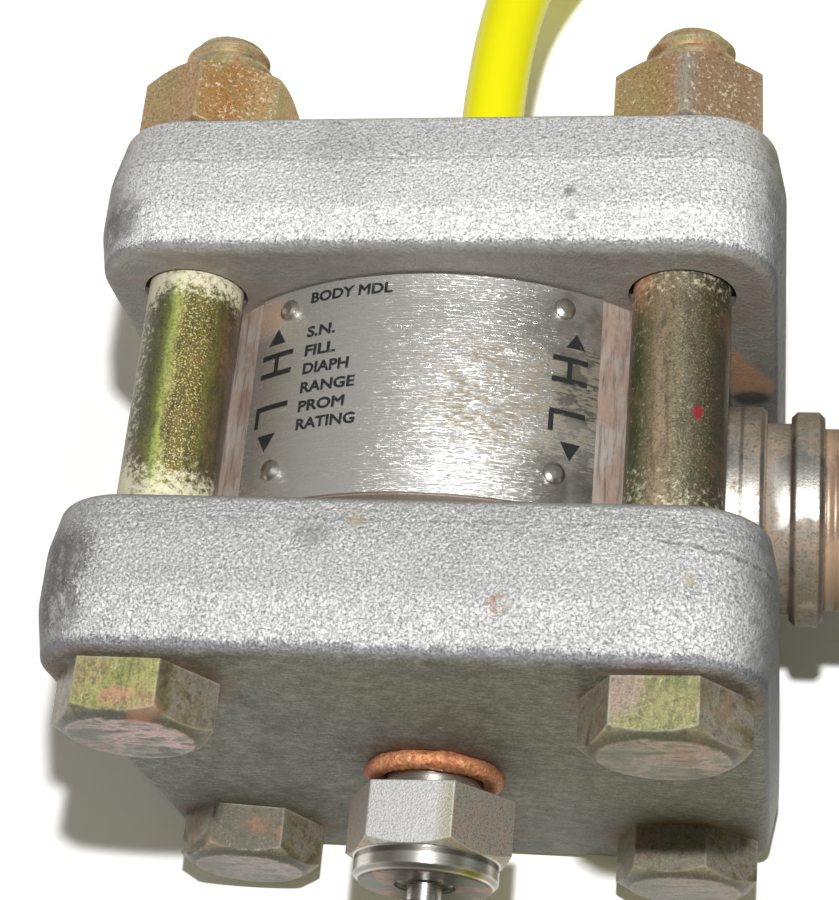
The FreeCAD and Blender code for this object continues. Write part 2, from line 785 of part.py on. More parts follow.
def bent_path(points):
    """Straight runs joined by tangent arcs, each as large as its two runs allow."""
    edges, radii, start = [], [], points[0]
    for before, corner, after in zip(points, points[1:], points[2:]):
        back, ahead = (before - corner), (after - corner)
        shorter = min(back.Length, ahead.Length)
        turn = math.pi - back.getAngle(ahead)
        reach = ARC_SHARE * shorter
        radius = reach / math.tan(turn / 2)
        back.normalize()
        ahead.normalize()
        first, last = corner + back * reach, corner + ahead * reach
        inward = (back + ahead).normalize()
        middle = corner + inward * (radius / math.cos(turn / 2) - radius)
        edges.append(Part.LineSegment(start, first).toShape())
        edges.append(Part.Arc(first, middle, last).toShape())
        radii.append(radius)
        start = last
    edges.append(Part.LineSegment(start, points[-1]).toShape())
    return Part.Wire(edges), radii


def capillary_lead(label, route, side):
    """The yellow sheathed lead from its sleeve to the first run of its hank."""
    points = [V(*spot) for spot in route]
    points[0].y = side * (outer_face + sheath_start).value
    for spot in points[:2]:
        spot.z = axis_z.value
    path, radii = bent_path(points)
    radius = s.sheath_radius.value
    disc = Part.Wire(Part.makeCircle(radius, points[0], points[1] - points[0]))
    solid = path.makePipeShell([disc], True, True)
    wanted = math.pi * radius ** 2 * path.Length
    print(label, "radii", [round(value, 1) for value in radii], "length", round(path.Length, 1))
    print(label, "volume over section times length", round(solid.Volume / wanted, 4))
    shape_piece(label, solid)


def racetrack(name, radius, height, y, run):
    """A slot-shaped block: two round ends joined by straight sides along X."""
    right = s.hank_left + run
    return fuse(
        name,
        cylinder(f"{name}_left", radius, height, s.hank_left, y, s.tie_thick),
        cylinder(f"{name}_right", radius, height, right, y, s.tie_thick),
        box(f"{name}_middle", (run, 2 * radius, height), s.hank_left, y - radius, s.tie_thick),
    )


def capillary_hank(name, run, first_y):
    """The rest of a lead, wound into a tied hank, with its end ferrule beside it."""
    middle = first_y + s.fold_radius
    outside, inside = s.fold_radius + s.sheath_radius, s.fold_radius - s.sheath_radius
    outer = racetrack(f"{name}_hank_outside", outside, hank_height, middle, run)
    inner = racetrack(f"{name}_hank_inside", inside, hank_height + s.past, middle, run)
    piece(f"{name}_capillary_hank", cut(f"{name}_hank_cut", outer, inner))
    ties = []
    for index, y in enumerate((first_y, first_y + 2 * s.fold_radius)):
        reach = s.sheath_radius + s.fit
        strap = box(f"{name}_tie_{index}_outside",
                    (s.tie_width, 2 * (reach + s.tie_thick), hank_height + 2 * s.tie_thick),
                    s.tie_x, y - reach - s.tie_thick, 0)
        window = box(f"{name}_tie_{index}_inside", (s.tie_width + 2 * s.past, 2 * reach, hank_height),
                     s.tie_x - s.past, y - reach, s.tie_thick)
        ties.append(cut(f"{name}_tie_{index}", strap, window))
    piece(f"{name}_hank_ties", group(f"{name}_ties", ties))
    ferrule = turned(f"{name}_end_turning", [
        (0, 0), (s.end_radius, 0), (s.end_radius, s.end_length - s.fitting_chamfer),
        (s.end_radius - s.fitting_chamfer, s.end_length), (s.end_tip_radius, s.end_length),
        (s.end_tip_radius, s.end_length + s.end_tip), (0, s.end_length + s.end_tip),
    ])
    last_y, lowest = first_y + 2 * s.fold_radius, s.tie_thick + s.sheath_radius
    piece(f"{name}_end_fitting", place(ferrule, s.hank_left, last_y, lowest, FreeCAD.Rotation(Z_AXIS, 90)))


def sensor_header():
    """The glass-sealed sensor header in the neck's end pocket, with its pins."""
    back = neck_end - s.pocket_depth
    radius = s.pocket_radius - s.fit
    can = place(turned("header_can", [
        (back, 0), (back, radius - s.header_step), (back + s.header_body, radius - s.header_step),
        (back + s.header_body, radius),
        (back + s.header_body + s.header_flange, radius), (back + s.header_body + s.header_flange, 0),
    ], "H_Axis"), z=axis_z)
    pins, holes = [], []
    for step in range(6):
        angle = math.radians(60 * step)
        y, z = s.pin_circle * math.cos(angle), axis_z + s.pin_circle * math.sin(angle)
        start = back + s.header_body - s.pin_sunk
        holes.append(cylinder(f"pin_hole_{step}", s.pin_radius + s.fit, s.pin_length, start, y, z, TO_X))
        pins.append(cylinder(f"pin_{step}", s.pin_radius, s.pin_length, start, y, z, TO_X))
    piece("sensor_header", cut("header_cut", can, *holes))
    piece("header_pins", group("pins", pins))
    ring = neck_seal_outer - s.neck_seal_section
    piece("neck_seal", torus("neck_ring", ring, s.neck_seal_section, s.neck_seal_x, 0, axis_z, TO_X))


def electronics_housing():
    """The cast housing: a two-ended barrel along Y with a neck socket and two conduit entries."""
    reach, bevel = s.housing_half + s.spigot_length, s.housing_chamfer
    seal_floor = cover_seal_outer - 2 * s.cover_seal_section
    seal_low = s.housing_half + s.cover_seal_inset - s.cover_seal_section
    seal_high = seal_low + 2 * s.cover_seal_section
    end = [
        (housing_radius, s.housing_half - bevel), (housing_radius - bevel, s.housing_half),
        (spigot_radius, s.housing_half), (spigot_radius, seal_low),
        (seal_floor, seal_low), (seal_floor, seal_high), (spigot_radius, seal_high),
        (spigot_radius, reach), (0, reach),
    ]
    other_end = [(radius, -along) for radius, along in end[::-1]]
    shell = place(turned("barrel", other_end + end), s.housing_x, 0, axis_z)
    socket_length = s.housing_x - s.socket_start
    socket = place(turned("neck_socket", [
        (0, 0), (0, s.socket_radius - bevel), (bevel, s.socket_radius), (socket_length, s.socket_radius),
        (socket_length, 0),
    ], "H_Axis"), s.socket_start, 0, axis_z)
    boss = place(turned("conduit_boss_bar", [
        (0, -conduit_reach), (s.conduit_boss - bevel, -conduit_reach),
        (s.conduit_boss, bevel - conduit_reach), (s.conduit_boss, conduit_reach - bevel),
        (s.conduit_boss - bevel, conduit_reach), (0, conduit_reach),
    ]), s.housing_x, s.conduit_y, axis_z, TO_MINUS_Y)
    pad = cylinder("earth_pad_bar", s.earth_pad_radius, earth_pad_reach, s.housing_x, 0, axis_z, TO_X)
    front = cylinder("front_room", housing_bore, reach + wall_front, s.housing_x, -reach, axis_z, TO_Y)
    rear = cylinder("rear_room", housing_bore, reach - wall_rear, s.housing_x, wall_rear, axis_z, TO_Y)
    bore = cylinder("socket_bore", s.neck_radius + s.fit, socket_length, s.socket_start, 0, axis_z, TO_X)
    conduit = cylinder("conduit_bore", s.conduit_radius, 2 * conduit_reach,
                       s.housing_x, s.conduit_y, axis_z - conduit_reach)
    grub = cylinder("set_screw_hole", s.set_screw_radius + s.fit, s.socket_radius, s.set_screw_x, 0, axis_z)
    earth_start = earth_pad_reach - s.earth_screw_depth
    earth = cylinder("earth_hole", s.earth_screw_radius + s.fit, s.earth_screw_depth,
                     s.housing_x + earth_start, 0, axis_z, TO_X)
    solid = fuse("housing_solid", shell, socket, boss, pad)
    piece("electronics_housing", cut("housing_cut", solid, front, rear, bore, conduit, grub, earth))


def housing_fasteners():
    """Conduit plug, neck set screw and earth screw, each seated in the housing."""
    floor = axis_z - conduit_reach + s.plug_sunk
    stopper = cylinder("plug_body", s.conduit_radius - s.fit, s.plug_length, s.housing_x, s.conduit_y, floor)
    key = hexagon("plug_key", s.plug_socket, s.plug_length / 2 + s.past)
    place(key, s.housing_x, s.conduit_y, floor - s.past)
    piece("conduit_plug", cut("plug_cut", stopper, key))
    tip = s.neck_radius + s.gap
    length = s.socket_radius - tip
    grub = cylinder("grub_body", s.set_screw_radius, length, s.set_screw_x, 0, axis_z + tip)
    slot = hexagon("grub_key", s.set_screw_socket, length)
    place(slot, s.set_screw_x, 0, axis_z + tip + length / 2)
    piece("neck_set_screw", cut("grub_cut", grub, slot))
    face, depth, thick = s.housing_x + earth_pad_reach, s.earth_screw_depth, s.earth_clamp_thick
    clamp = cylinder("earth_clamp_disc", s.earth_clamp_radius, thick, face, 0, axis_z, TO_X)
    hole = cylinder("earth_clamp_hole", s.earth_screw_radius + s.fit, thick, face, 0, axis_z, TO_X)
    piece("earth_clamp_washer", cut("earth_clamp_cut", clamp, hole))
    stem = cylinder("earth_stem", s.earth_screw_radius, depth + thick, face - depth, 0, axis_z, TO_X)
    seat = face + thick
    head = cylinder("earth_head", s.earth_head_radius, s.earth_head_height, seat, 0, axis_z, TO_X)
    groove = box("earth_slot", (s.earth_head_height, 2 * s.earth_head_radius, thick),
                 seat + s.earth_head_height / 2, -s.earth_head_radius, axis_z - thick / 2)
    piece("earth_screw", cut("earth_screw_cut", fuse("earth_screw_solid", stem, head), groove))


def cover(name, side):
    """A screwed end cover with finger grips round its skirt, and the seal that it closes on."""
    low, inside, face = side * cover_rim, side * cover_inside, side * cover_face
    skirt = cover_bore
    shoulder = side * (cover_face - s.cover_chamfer)
    cap = place(turned(f"{name}_cap", [
        (skirt, low), (s.cover_radius, low), (s.cover_radius, shoulder),
        (s.cover_radius - s.cover_chamfer, face), (0, face), (0, inside), (skirt, inside),
    ]), s.housing_x, 0, axis_z)
    grips = []
    circle = s.cover_radius + s.grip_radius - s.grip_depth
    start = cover_face - s.grip_length if side > 0 else -cover_face
    for step in range(SIZES["cover_grips"]):
        angle = 2 * math.pi * (step + 0.5) / SIZES["cover_grips"]
        grips.append(cylinder(f"{name}_grip_{step}", s.grip_radius, s.grip_length,
                              s.housing_x + circle * math.cos(angle), start,
                              axis_z + circle * math.sin(angle), TO_Y))
    piece(name, cut(f"{name}_cut", cap, *grips))
    radius = cover_seal_outer - s.cover_seal_section
    spot = side * (s.housing_half + s.cover_seal_inset)
    ring = torus(f"{name}_ring", radius, s.cover_seal_section, s.housing_x, spot, axis_z, TO_Y)
    piece(f"{name}_seal", ring)


def covers():
    """The terminal cover faces the low side and the electronics cover the high side."""
    cover("terminal_cover", -1)
    cover("electronics_cover", 1)


def terminal_room():
    """The terminal block with its dividing ribs and three screws, on the housing's inner wall."""
    top = wall_front - s.block_thick
    disc = cylinder("block_disc", block_radius, s.block_thick, s.housing_x, top, axis_z, TO_Y)
    ribs = [
        box(f"block_rib_{step}", (s.rib_thick, s.rib_height, s.rib_length),
            s.housing_x + (step - 1.5) * s.terminal_apart - s.rib_thick / 2,
            top - s.rib_height, axis_z - s.rib_length / 2)
        for step in range(4)
    ]
    piece("terminal_block", fuse("block_solid", disc, *ribs))
    screws = []
    for step in (-1, 0, 1):
        head = cylinder(f"terminal_head_{step}", s.terminal_radius, s.terminal_height,
                        s.housing_x + step * s.terminal_apart, top - s.terminal_height, axis_z, TO_Y)
        slot = box(f"terminal_slot_{step}", (2 * s.terminal_radius, s.terminal_height / 2, s.rib_thick / 2),
                   s.housing_x + step * s.terminal_apart - s.terminal_radius, top - s.terminal_height,
                   axis_z - s.rib_thick / 4)
        screws.append(cut(f"terminal_screw_{step}", head, slot))
    piece("terminal_screws", group("terminal_screw_set", screws))


def electronics_room():
    """The potted module on the inner wall, with its circuit board on four posts."""
    top = wall_rear + s.module_length
    piece("electronics_module", cylinder("module_pot", module_radius, s.module_length,
                                         s.housing_x, wall_rear, axis_z, TO_Y))
    posts, holes = [], []
    for step in range(4):
        angle = math.radians(45 + 90 * step)
        x, z = s.housing_x + post_circle * math.cos(angle), axis_z + post_circle * math.sin(angle)
        post = cylinder(f"post_{step}", s.post_radius, s.post_height, x, top, z, TO_Y)
        stud = cylinder(f"stud_{step}", s.post_radius / 2, s.post_height + 2 * s.board_thick,
                        x, top, z, TO_Y)
        posts.append(fuse(f"board_post_{step}", post, stud))
        holes.append(cylinder(f"board_hole_{step}", s.post_radius / 2 + s.fit, s.board_thick,
                              x, top + s.post_height, z, TO_Y))
    piece("board_posts", group("board_post_set", posts))
    board = cylinder("board_disc", board_radius, s.board_thick,
                     s.housing_x, top + s.post_height, axis_z, TO_Y)
    piece("circuit_board", cut("board_cut", board, *holes))


def check_and_export():
    """Stop if any object failed, then write each sub-part to its own file."""
    doc.recompute()
    for obj in doc.Objects:
        if {"Invalid", "Error"} & set(obj.State):
            raise RuntimeError(f"{obj.Name} failed: {obj.State}")
    os.makedirs("parts", exist_ok=True)
    for obj in pieces:
        shape = obj.Shape
        if shape.isNull() or not shape.isValid() or not shape.Solids:
            raise RuntimeError(f"{obj.Label} has no sound shape")
        shape.exportStep(f"parts/{obj.Label}.step")
        print(obj.Label, "solids", len(shape.Solids), "volume", round(shape.Volume, 1))


meter_body()
diaphragms_and_gaskets()
process_heads()
head_bolts()
head_nuts()
nameplate()
for lead_name, lead_side, lead_turn in (("high", 1, TO_Y), ("low", -1, TO_MINUS_Y)):
    capillary_connection(lead_name, lead_side, lead_turn)
capillary_lead("high_capillary_lead", HIGH_ROUTE, 1)
capillary_lead("low_capillary_lead", LOW_ROUTE, -1)
capillary_hank("high", s.high_hank_run, s.high_hank_y)
capillary_hank("low", s.low_hank_run, s.low_hank_y)
sensor_header()
electronics_housing()
housing_fasteners()
covers()
terminal_room()
electronics_room()
check_and_export()
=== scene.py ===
"""Looks of a differential pressure transmitter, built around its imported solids.

Frame: metres, +Z up, +X along the neck, +Y towards the high side head, table at z = 0.
"""
from __future__ import annotations

import logging
import math
from dataclasses import dataclass
from enum import Enum
from typing import Iterable, Mapping, Sequence

import bpy
from mathutils import Matrix, Vector

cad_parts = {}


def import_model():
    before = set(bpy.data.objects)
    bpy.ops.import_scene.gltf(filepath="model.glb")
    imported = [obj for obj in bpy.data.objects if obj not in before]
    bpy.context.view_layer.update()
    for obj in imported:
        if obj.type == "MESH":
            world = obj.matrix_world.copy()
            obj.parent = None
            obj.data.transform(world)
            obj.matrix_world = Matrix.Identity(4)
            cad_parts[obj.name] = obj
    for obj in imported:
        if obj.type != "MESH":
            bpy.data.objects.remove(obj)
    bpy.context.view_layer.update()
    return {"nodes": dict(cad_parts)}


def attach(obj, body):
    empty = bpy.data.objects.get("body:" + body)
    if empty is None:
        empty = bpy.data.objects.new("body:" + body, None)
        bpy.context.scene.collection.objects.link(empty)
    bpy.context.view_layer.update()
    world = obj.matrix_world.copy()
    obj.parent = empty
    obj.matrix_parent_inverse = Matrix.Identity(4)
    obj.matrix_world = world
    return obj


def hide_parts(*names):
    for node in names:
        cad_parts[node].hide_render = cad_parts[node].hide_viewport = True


LOG = logging.getLogger("transmitter")
MM = 0.001
AXIS_Z = 40.0 * MM
BOLT_REACH = 28.5 * MM
Colour = tuple[float, float, float]
Point = tuple[float, float, float]
Nodes = Mapping[str, bpy.types.Object]


class Side(Enum):
    """The two sides of the meter body, by the sign of Y."""

    HIGH = 1
    LOW = -1

    @property
    def label(self) -> str:
        """The word that starts this side's names."""
        return self.name.lower()


# Shader graphs


class Value:
    """A shader socket that adds Math nodes when it is used in an expression."""

    def __init__(self, graph: "Graph", socket: bpy.types.NodeSocket) -> None:
        """Keep the socket and the graph that it belongs to."""
        self.graph = graph
        self.socket = socket

    def _math(self, operation: str, first: "Number", second: "Number") -> "Value":
        """Add one Math node."""
        return self.graph.node("ShaderNodeMath", {"operation": operation}, {0: first, 1: second})

    def __add__(self, other: "Number") -> "Value":
        """Sum of two values."""
        return self._math("ADD", self, other)

    def __radd__(self, other: "Number") -> "Value":
        """Sum with a number on the left."""
        return self._math("ADD", other, self)

    def __sub__(self, other: "Number") -> "Value":
        """Difference of two values."""
        return self._math("SUBTRACT", self, other)

    def __rsub__(self, other: "Number") -> "Value":
        """Difference from a number on the left."""
        return self._math("SUBTRACT", other, self)

    def __mul__(self, other: "Number") -> "Value":
        """Product of two values."""
        return self._math("MULTIPLY", self, other)

    def __rmul__(self, other: "Number") -> "Value":
        """Product with a number on the left."""
        return self._math("MULTIPLY", other, self)

    def __truediv__(self, other: "Number") -> "Value":
        """Quotient of two values."""
        return self._math("DIVIDE", self, other)

    def __pow__(self, other: "Number") -> "Value":
        """Power of a value."""
        return self._math("POWER", self, other)

    def larger(self, other: "Number") -> "Value":
        """The larger of two values."""
        return self._math("MAXIMUM", self, other)

    def size(self) -> "Value":
        """The value without its sign."""
        return self._math("ABSOLUTE", self, 0.0)

    def sign(self) -> "Value":
        """-1, 0 or 1 with the value's sign."""
        return self._math("SIGN", self, 0.0)

    def above_zero(self) -> "Value":
        """1 where the value is positive, 0 where it is negative."""
        return self.sign() * 0.5 + 0.5

    def sine(self) -> "Value":
        """The sine of an angle in radians."""
        return self._math("SINE", self, 0.0)

    def between(self, low: float, high: float) -> "Value":
        """A smooth step from 0 at low to 1 at high."""
        settings = {"interpolation_type": "SMOOTHSTEP"}
        return self.graph.node("ShaderNodeMapRange", settings, {0: self, 1: low, 2: high, 3: 0.0, 4: 1.0})

    def falling(self, low: float, high: float) -> "Value":
        """A smooth step from 1 at low to 0 at high."""
        return 1.0 - self.between(low, high)

    def near(self, spot: float, inner: float, outer: float) -> "Value":
        """1 within inner of a spot, falling to 0 at outer."""
        return (self - spot).size().falling(inner, outer)


Number = Value | float
Tint = Value | Colour
Stops = Sequence[tuple[float, Colour]]


class Graph:
    """A material's node tree, filled by calls instead of by hand."""

    def __init__(self, name: str) -> None:
        """Start an empty material.

        Args:
            name: The finish's name.
        """
        self.material = bpy.data.materials.new(name)
        self.material.use_nodes = True
        self.tree = self.material.node_tree
        self.tree.nodes.clear()

    def add(self, kind: str, settings: Mapping | None = None,
            inputs: Mapping | None = None) -> bpy.types.Node:
        """Add one node.

        Args:
            kind: The node's type.
            settings: Its settings, set before its sockets; "stops" fills a colour ramp.
            inputs: Values or links by socket name or number.

        Returns:
            The node.
        """
        node = self.tree.nodes.new(kind)
        for key, setting in (settings or {}).items():
            if key == "stops":
                self._fill_ramp(node.color_ramp, setting)
            else:
                setattr(node, key, setting)
        for key, value in (inputs or {}).items():
            if isinstance(value, Value):
                self.tree.links.new(value.socket, node.inputs[key])
            else:
                node.inputs[key].default_value = value
        return node

    @staticmethod
    def _fill_ramp(ramp: bpy.types.ColorRamp, stops: Stops) -> None:
        """Give a colour ramp its stops.

        Args:
            ramp: The ramp.
            stops: Places and colours.
        """
        while len(ramp.elements) < len(stops):
            ramp.elements.new(1.0)
        for element, (spot, colour) in zip(ramp.elements, stops):
            element.position = spot
            element.color = (*colour, 1.0)

    def node(self, kind: str, settings: Mapping | None = None, inputs: Mapping | None = None,
             output: int | str = 0) -> Value:
        """Add one node and return one of its outputs.

        Args:
            kind: The node's type.
            settings: Its settings.
            inputs: Values or links by socket name or number.
            output: The output's name or number.

        Returns:
            The output as a value.
        """
        return Value(self, self.add(kind, settings, inputs).outputs[output])

    def place(self) -> Value:
        """The object's own coordinates."""
        return self.node("ShaderNodeTexCoord", output="Object")

    def facing(self) -> Value:
        """The way that the surface faces."""
        return self.node("ShaderNodeNewGeometry", output="Normal")

    def axes(self, vector: Value) -> tuple[Value, Value, Value]:
        """The three parts of a vector."""
        parts = self.add("ShaderNodeSeparateXYZ", inputs={0: vector})
        return tuple(Value(self, parts.outputs[index]) for index in range(3))

    def turn(self, across: Value, up: Value) -> Value:
        """The angle from straight up, in radians."""
        return self.node("ShaderNodeMath", {"operation": "ARCTAN2"}, {0: across, 1: up})

    def from_bolt(self, x: Value, z: Value) -> tuple[Value, Value, Value, Value]:
        """Where a place is among the four bolts.

        Args:
            x: Place along X.
            z: Height.

        Returns:
            1 on the bolts by the neck, 1 on the upper bolts, and the distances from the nearest bolt's
            axis along X and Z.
        """
        height = z - AXIS_Z
        across = x - x.sign() * BOLT_REACH
        up = height - height.sign() * BOLT_REACH
        return x.above_zero(), height.above_zero(), across, up

    def noise(self, vector: Value, scale: float, detail: float = 3.0, roughness: float = 0.55,
              distortion: float = 0.0) -> Value:
        """Smooth noise of one scale.

        Args:
            vector: Where it is read.
            scale: Waves per unit.
            detail: Finer layers.
            roughness: How strong the finer layers are.
            distortion: How much it swirls.

        Returns:
            The noise, mostly from 0.2 to 0.8.
        """
        inputs = {"Vector": vector, "Scale": scale, "Detail": detail, "Roughness": roughness,
                  "Distortion": distortion}
        return self.node("ShaderNodeTexNoise", inputs=inputs)

    def streaks(self, parts: Sequence[Value], scales: Sequence[float], detail: float, roughness: float,
                distortion: float = 0.0) -> Value:
        """Noise that is drawn out along some directions.

        Args:
            parts: One to three coordinates.
            scales: Waves per unit along each.
            detail: Finer layers.
            roughness: How strong the finer layers are.
            distortion: How much it swirls.

        Returns:
            The noise, mostly from 0.2 to 0.8.
        """
        drawn = {index: part * scale for index, (part, scale) in enumerate(zip(parts, scales))}
        vector = self.node("ShaderNodeCombineXYZ", inputs=drawn)
        return self.noise(vector, 1.0, detail, roughness, distortion)

    def cells(self, vector: Value, scale: float) -> Value:
        """Distance to the nearest point of a random cell pattern."""
        return self.node("ShaderNodeTexVoronoi", {"feature": "F1"}, {"Vector": vector, "Scale": scale})

    def ramp(self, value: Value, stops: Stops) -> Value:
        """A colour for each value."""
        return self.node("ShaderNodeValToRGB", {"stops": stops}, {0: value})

    def mix(self, share: Number, first: Tint, second: Tint) -> Value:
        """Mix two colours.

        Args:
            share: How much of the second.
            first: The first colour.
            second: The second colour.

        Returns:
            The mixed colour.
        """
        sides = [item if isinstance(item, Value) else (*item, 1.0) for item in (first, second)]
        settings = {"data_type": "RGBA", "blend_type": "MIX", "clamp_factor": True}
        return self.node("ShaderNodeMix", settings, {0: share, 6: sides[0], 7: sides[1]}, output=2)

    def layers(self, base: Tint, *coats: tuple[Number, Tint]) -> Value:
        """Lay coats over a colour.

        Args:
            base: The colour underneath.
            coats: Each coat's share and colour, from the lowest up.

        Returns:
            The colour on top.
        """
        for share, tint in coats:
            base = self.mix(share, base, tint)
        return base

    def blot(self, across: Number, along: Number, radius: float, ragged: Value) -> Value:
        """A round mark with a ragged edge.

        Args:
            across: Distance from its middle one way.
            along: Distance from its middle the other way.
            radius: Its radius.
            ragged: Noise that moves the edge.

        Returns:
            1 inside the mark, 0 outside.
        """
        reach = (across * across + along * along) ** 0.5 + (ragged - 0.5) * radius
        return reach.falling(radius * 0.6, radius * 1.15)

    def bump(self, height: Value, distance: float, start: Value | None = None) -> Value:
        """A normal that follows a height.

        Args:
            height: The height, from 0 to 1.
            distance: What a height of 1 stands for, in metres.
            start: A normal to start from.

        Returns:
            The normal.
        """
        inputs = {"Height": height, "Distance": distance, "Strength": 1.0}
        if start is not None:
            inputs["Normal"] = start
        return self.node("ShaderNodeBump", inputs=inputs)

    def soft_edges(self, radius: float) -> Value:
        """A normal that rounds sharp edges by a small radius."""
        return self.node("ShaderNodeBevel", {"samples": 2}, {"Radius": radius})

    def worn(self, radius: float) -> Value:
        """How near a sharp edge is.

        Args:
            radius: How far from the edge it starts.

        Returns:
            0 on flat ground, towards 1 on the edge.
        """
        rounded = self.node("ShaderNodeBevel", {"samples": 3}, {"Radius": radius})
        settings = {"operation": "DOT_PRODUCT"}
        along = self.node("ShaderNodeVectorMath", settings, {0: rounded, 1: self.facing()}, output="Value")
        return (1.0 - along).between(0.01, 0.12)

    def surface(self, colour: Value, rough: Number, metal: Number,
                normal: Value | None = None) -> bpy.types.Material:
        """Finish the material.

        Args:
            colour: Base colour.
            rough: Roughness.
            metal: Metallic share.
            normal: Normal, where it isn't plain.

        Returns:
            The material.
        """
        inputs = {"Base Color": colour, "Roughness": rough, "Metallic": metal}
        if normal is not None:
            inputs["Normal"] = normal
        shader = self.node("ShaderNodeBsdfPrincipled", inputs=inputs)
        self.add("ShaderNodeOutputMaterial", inputs={0: shader})
        return self.material


# Finishes


@dataclass(frozen=True)
class CastMetal:
    """Sand-cast stainless: fine grain with painted glints, a far head painted paler as painted light,
    painted highlight and shade bands, dull and mottled on machined faces.
    """

    name: str = "cast_metal"
    # painted light: the far head is painted paler than the near one, standing in for the brighter light on
    # it
    near: Colour = (0.55, 0.553, 0.55)
    far: Colour = (0.84, 0.843, 0.837)
    # painted glints: pale specks on the grain, also the painted highlight on the front bands
    painted_glint: Colour = (0.97, 0.975, 0.985)
    # dark grain colour, also used for painted shade on the back bands, in the creases and at the sides
    dark_grain_and_shade: Colour = (0.2, 0.202, 0.21)
    # painted shade: a dark bluish rim along the heads' front edges
    rim: Colour = (0.11, 0.114, 0.128)
    machined: Colour = (0.18, 0.178, 0.163)
    streak: Colour = (0.31, 0.306, 0.29)
    polish: Colour = (0.4, 0.4, 0.385)
    grime: Colour = (0.07, 0.068, 0.062)
    rust: Colour = (0.36, 0.16, 0.08)
    ochre: Colour = (0.5, 0.38, 0.22)
    bolt_rust: Colour = (0.22, 0.1, 0.055)
    port_rust: Colour = (0.14, 0.07, 0.045)
    inner_pale: Colour = (0.46, 0.44, 0.4)
    inner_dark: Colour = (0.16, 0.14, 0.115)
    seep: Colour = (0.62, 0.34, 0.18)
    # Stains on the heads' tops, with the grime blots near x = -36 mm as painted shade on the left corners:
    # x, y and radius in millimetres, then share and colour
    stains: tuple[tuple[float, float, float, float, Colour], ...] = (
        (-3.9, -18.1, 1.1, 0.9, ochre), (11.9, -27.1, 1.3, 0.8, rust), (31.0, -24.0, 0.9, 0.5, ochre),
        (16.3, 22.0, 0.8, 0.6, grime), (16.5, 18.8, 0.7, 0.6, grime), (-35.5, -22.5, 4.6, 0.75, grime),
        (-36.0, -28.0, 4.0, 0.75, grime), (-8.5, -19.8, 2.2, 0.4, grime), (-36.0, 19.5, 3.5, 0.7, grime),
    )
    grain: float = 3400.0
    depth: float = 0.22 * MM
    face_y: float = 33.0 * MM
    inner_y: float = 15.0 * MM
    near_crease: float = -17.9 * MM
    far_crease: float = 26.5 * MM
    # where the far head's painted highlight band ends
    far_front: float = 20.2 * MM
    crack_y: float = -19.2 * MM

    def build(self) -> bpy.types.Material:
        """Make the material.

        Returns:
            The material.
        """
        graph = Graph(self.name)
        place = graph.place()
        x, y, z = graph.axes(place)
        grain = graph.noise(place, self.grain, 4.0, 0.68)
        wrinkle = graph.noise(place, 1500.0, 2.0, 0.5, 0.4).near(0.5, 0.0, 0.05)
        knots = graph.cells(place, 2300.0)
        lumps = graph.noise(place, 420.0, 4.0, 0.65)
        broad = graph.noise(place, 42.0, 3.0, 0.6)
        outer = y.size().between(self.face_y - 0.7 * MM, self.face_y - 0.1 * MM)
        inner = y.size().falling(self.inner_y + 0.1 * MM, self.inner_y + 1.1 * MM)
        flat = outer.larger(inner)
        cast, line = self._bands(graph, y, lumps)
        cast = graph.layers(
            cast,
            (grain.falling(0.36, 0.52) * 0.72, self.dark_grain_and_shade),
            (wrinkle * 0.3, self.dark_grain_and_shade),
            # painted glints on the grain
            (grain.between(0.53, 0.62) * 0.5, self.painted_glint),
            (broad.between(0.56, 0.74) * 0.2, self.dark_grain_and_shade),
        )
        cast = self._marks(graph, cast, x, y, z, lumps * 0.5 + grain * 0.5)
        ragged = y + (lumps - 0.5) * (1.6 * MM) + (grain - 0.5) * (1.6 * MM)
        # painted shade along the front edges of both heads
        low_edge_shade = ragged.falling(1.0 * MM - self.face_y, 1.7 * MM - self.face_y)
        high_edge_shade = ragged.falling(self.inner_y + 0.8 * MM, self.inner_y + 1.5 * MM) * y.above_zero()
        crack = self._crack(x, y, z, lumps)
        colour = graph.layers(
            cast,
            (low_edge_shade.larger(high_edge_shade) * 0.7, self.rim),
            (flat, self._machined(graph, x, y, z, broad, grain)),
            (crack * 0.5, self.grime),
        )
        height = (grain * 0.7 + knots * 0.45 + lumps * 0.35 - wrinkle * 0.2) * (1.0 - flat * 0.4)
        height = height - crack * 0.4 - line * 0.25
        rough = 0.46 + grain * 0.12 + flat * 0.1
        return graph.surface(colour, rough, 0.48 - flat * 0.18, graph.bump(height, self.depth))

    def _bands(self, graph: Graph, y: Value, wobble: Value) -> tuple[Value, Value]:
        """The colours of the bands between the casting's creases, with a painted highlight on the tilted
        front bands and painted shade on the back bands and in the creases.

        Args:
            graph: The material's graph.
            y: Place along Y.
            wobble: Noise that moves the creases.

        Returns:
            The colour, and where the creases are.
        """
        high = y.above_zero()
        moved = y + (wobble - 0.5) * (1.5 * MM)
        from_far = moved - self.far_crease
        from_near = moved - self.near_crease
        # painted shade: darker back bands behind the creases
        back = from_far.between(-0.2 * MM, 0.2 * MM) * high
        back = back.larger(from_near.between(-0.3 * MM, 0.3 * MM) * (1.0 - high))
        # painted highlight on the heads' tilted front zones
        front = moved.falling(self.far_front - 0.3 * MM, self.far_front + 0.3 * MM) * high * 0.55
        front = front.larger(moved.falling(-29.0 * MM, -24.0 * MM) * 0.22)
        # painted shade in the creases
        line = from_far.size().falling(0.05 * MM, 0.3 * MM) * high
        line = line.larger(from_near.size().falling(0.05 * MM, 0.35 * MM) * (1.0 - high))
        cast = graph.layers(
            # the far head's paler colour is painted light
            graph.mix(high, self.near, self.far),
            (back * 0.14, self.dark_grain_and_shade),
            (front, self.painted_glint),
            (line * 0.22, self.dark_grain_and_shade),
        )
        return cast, line

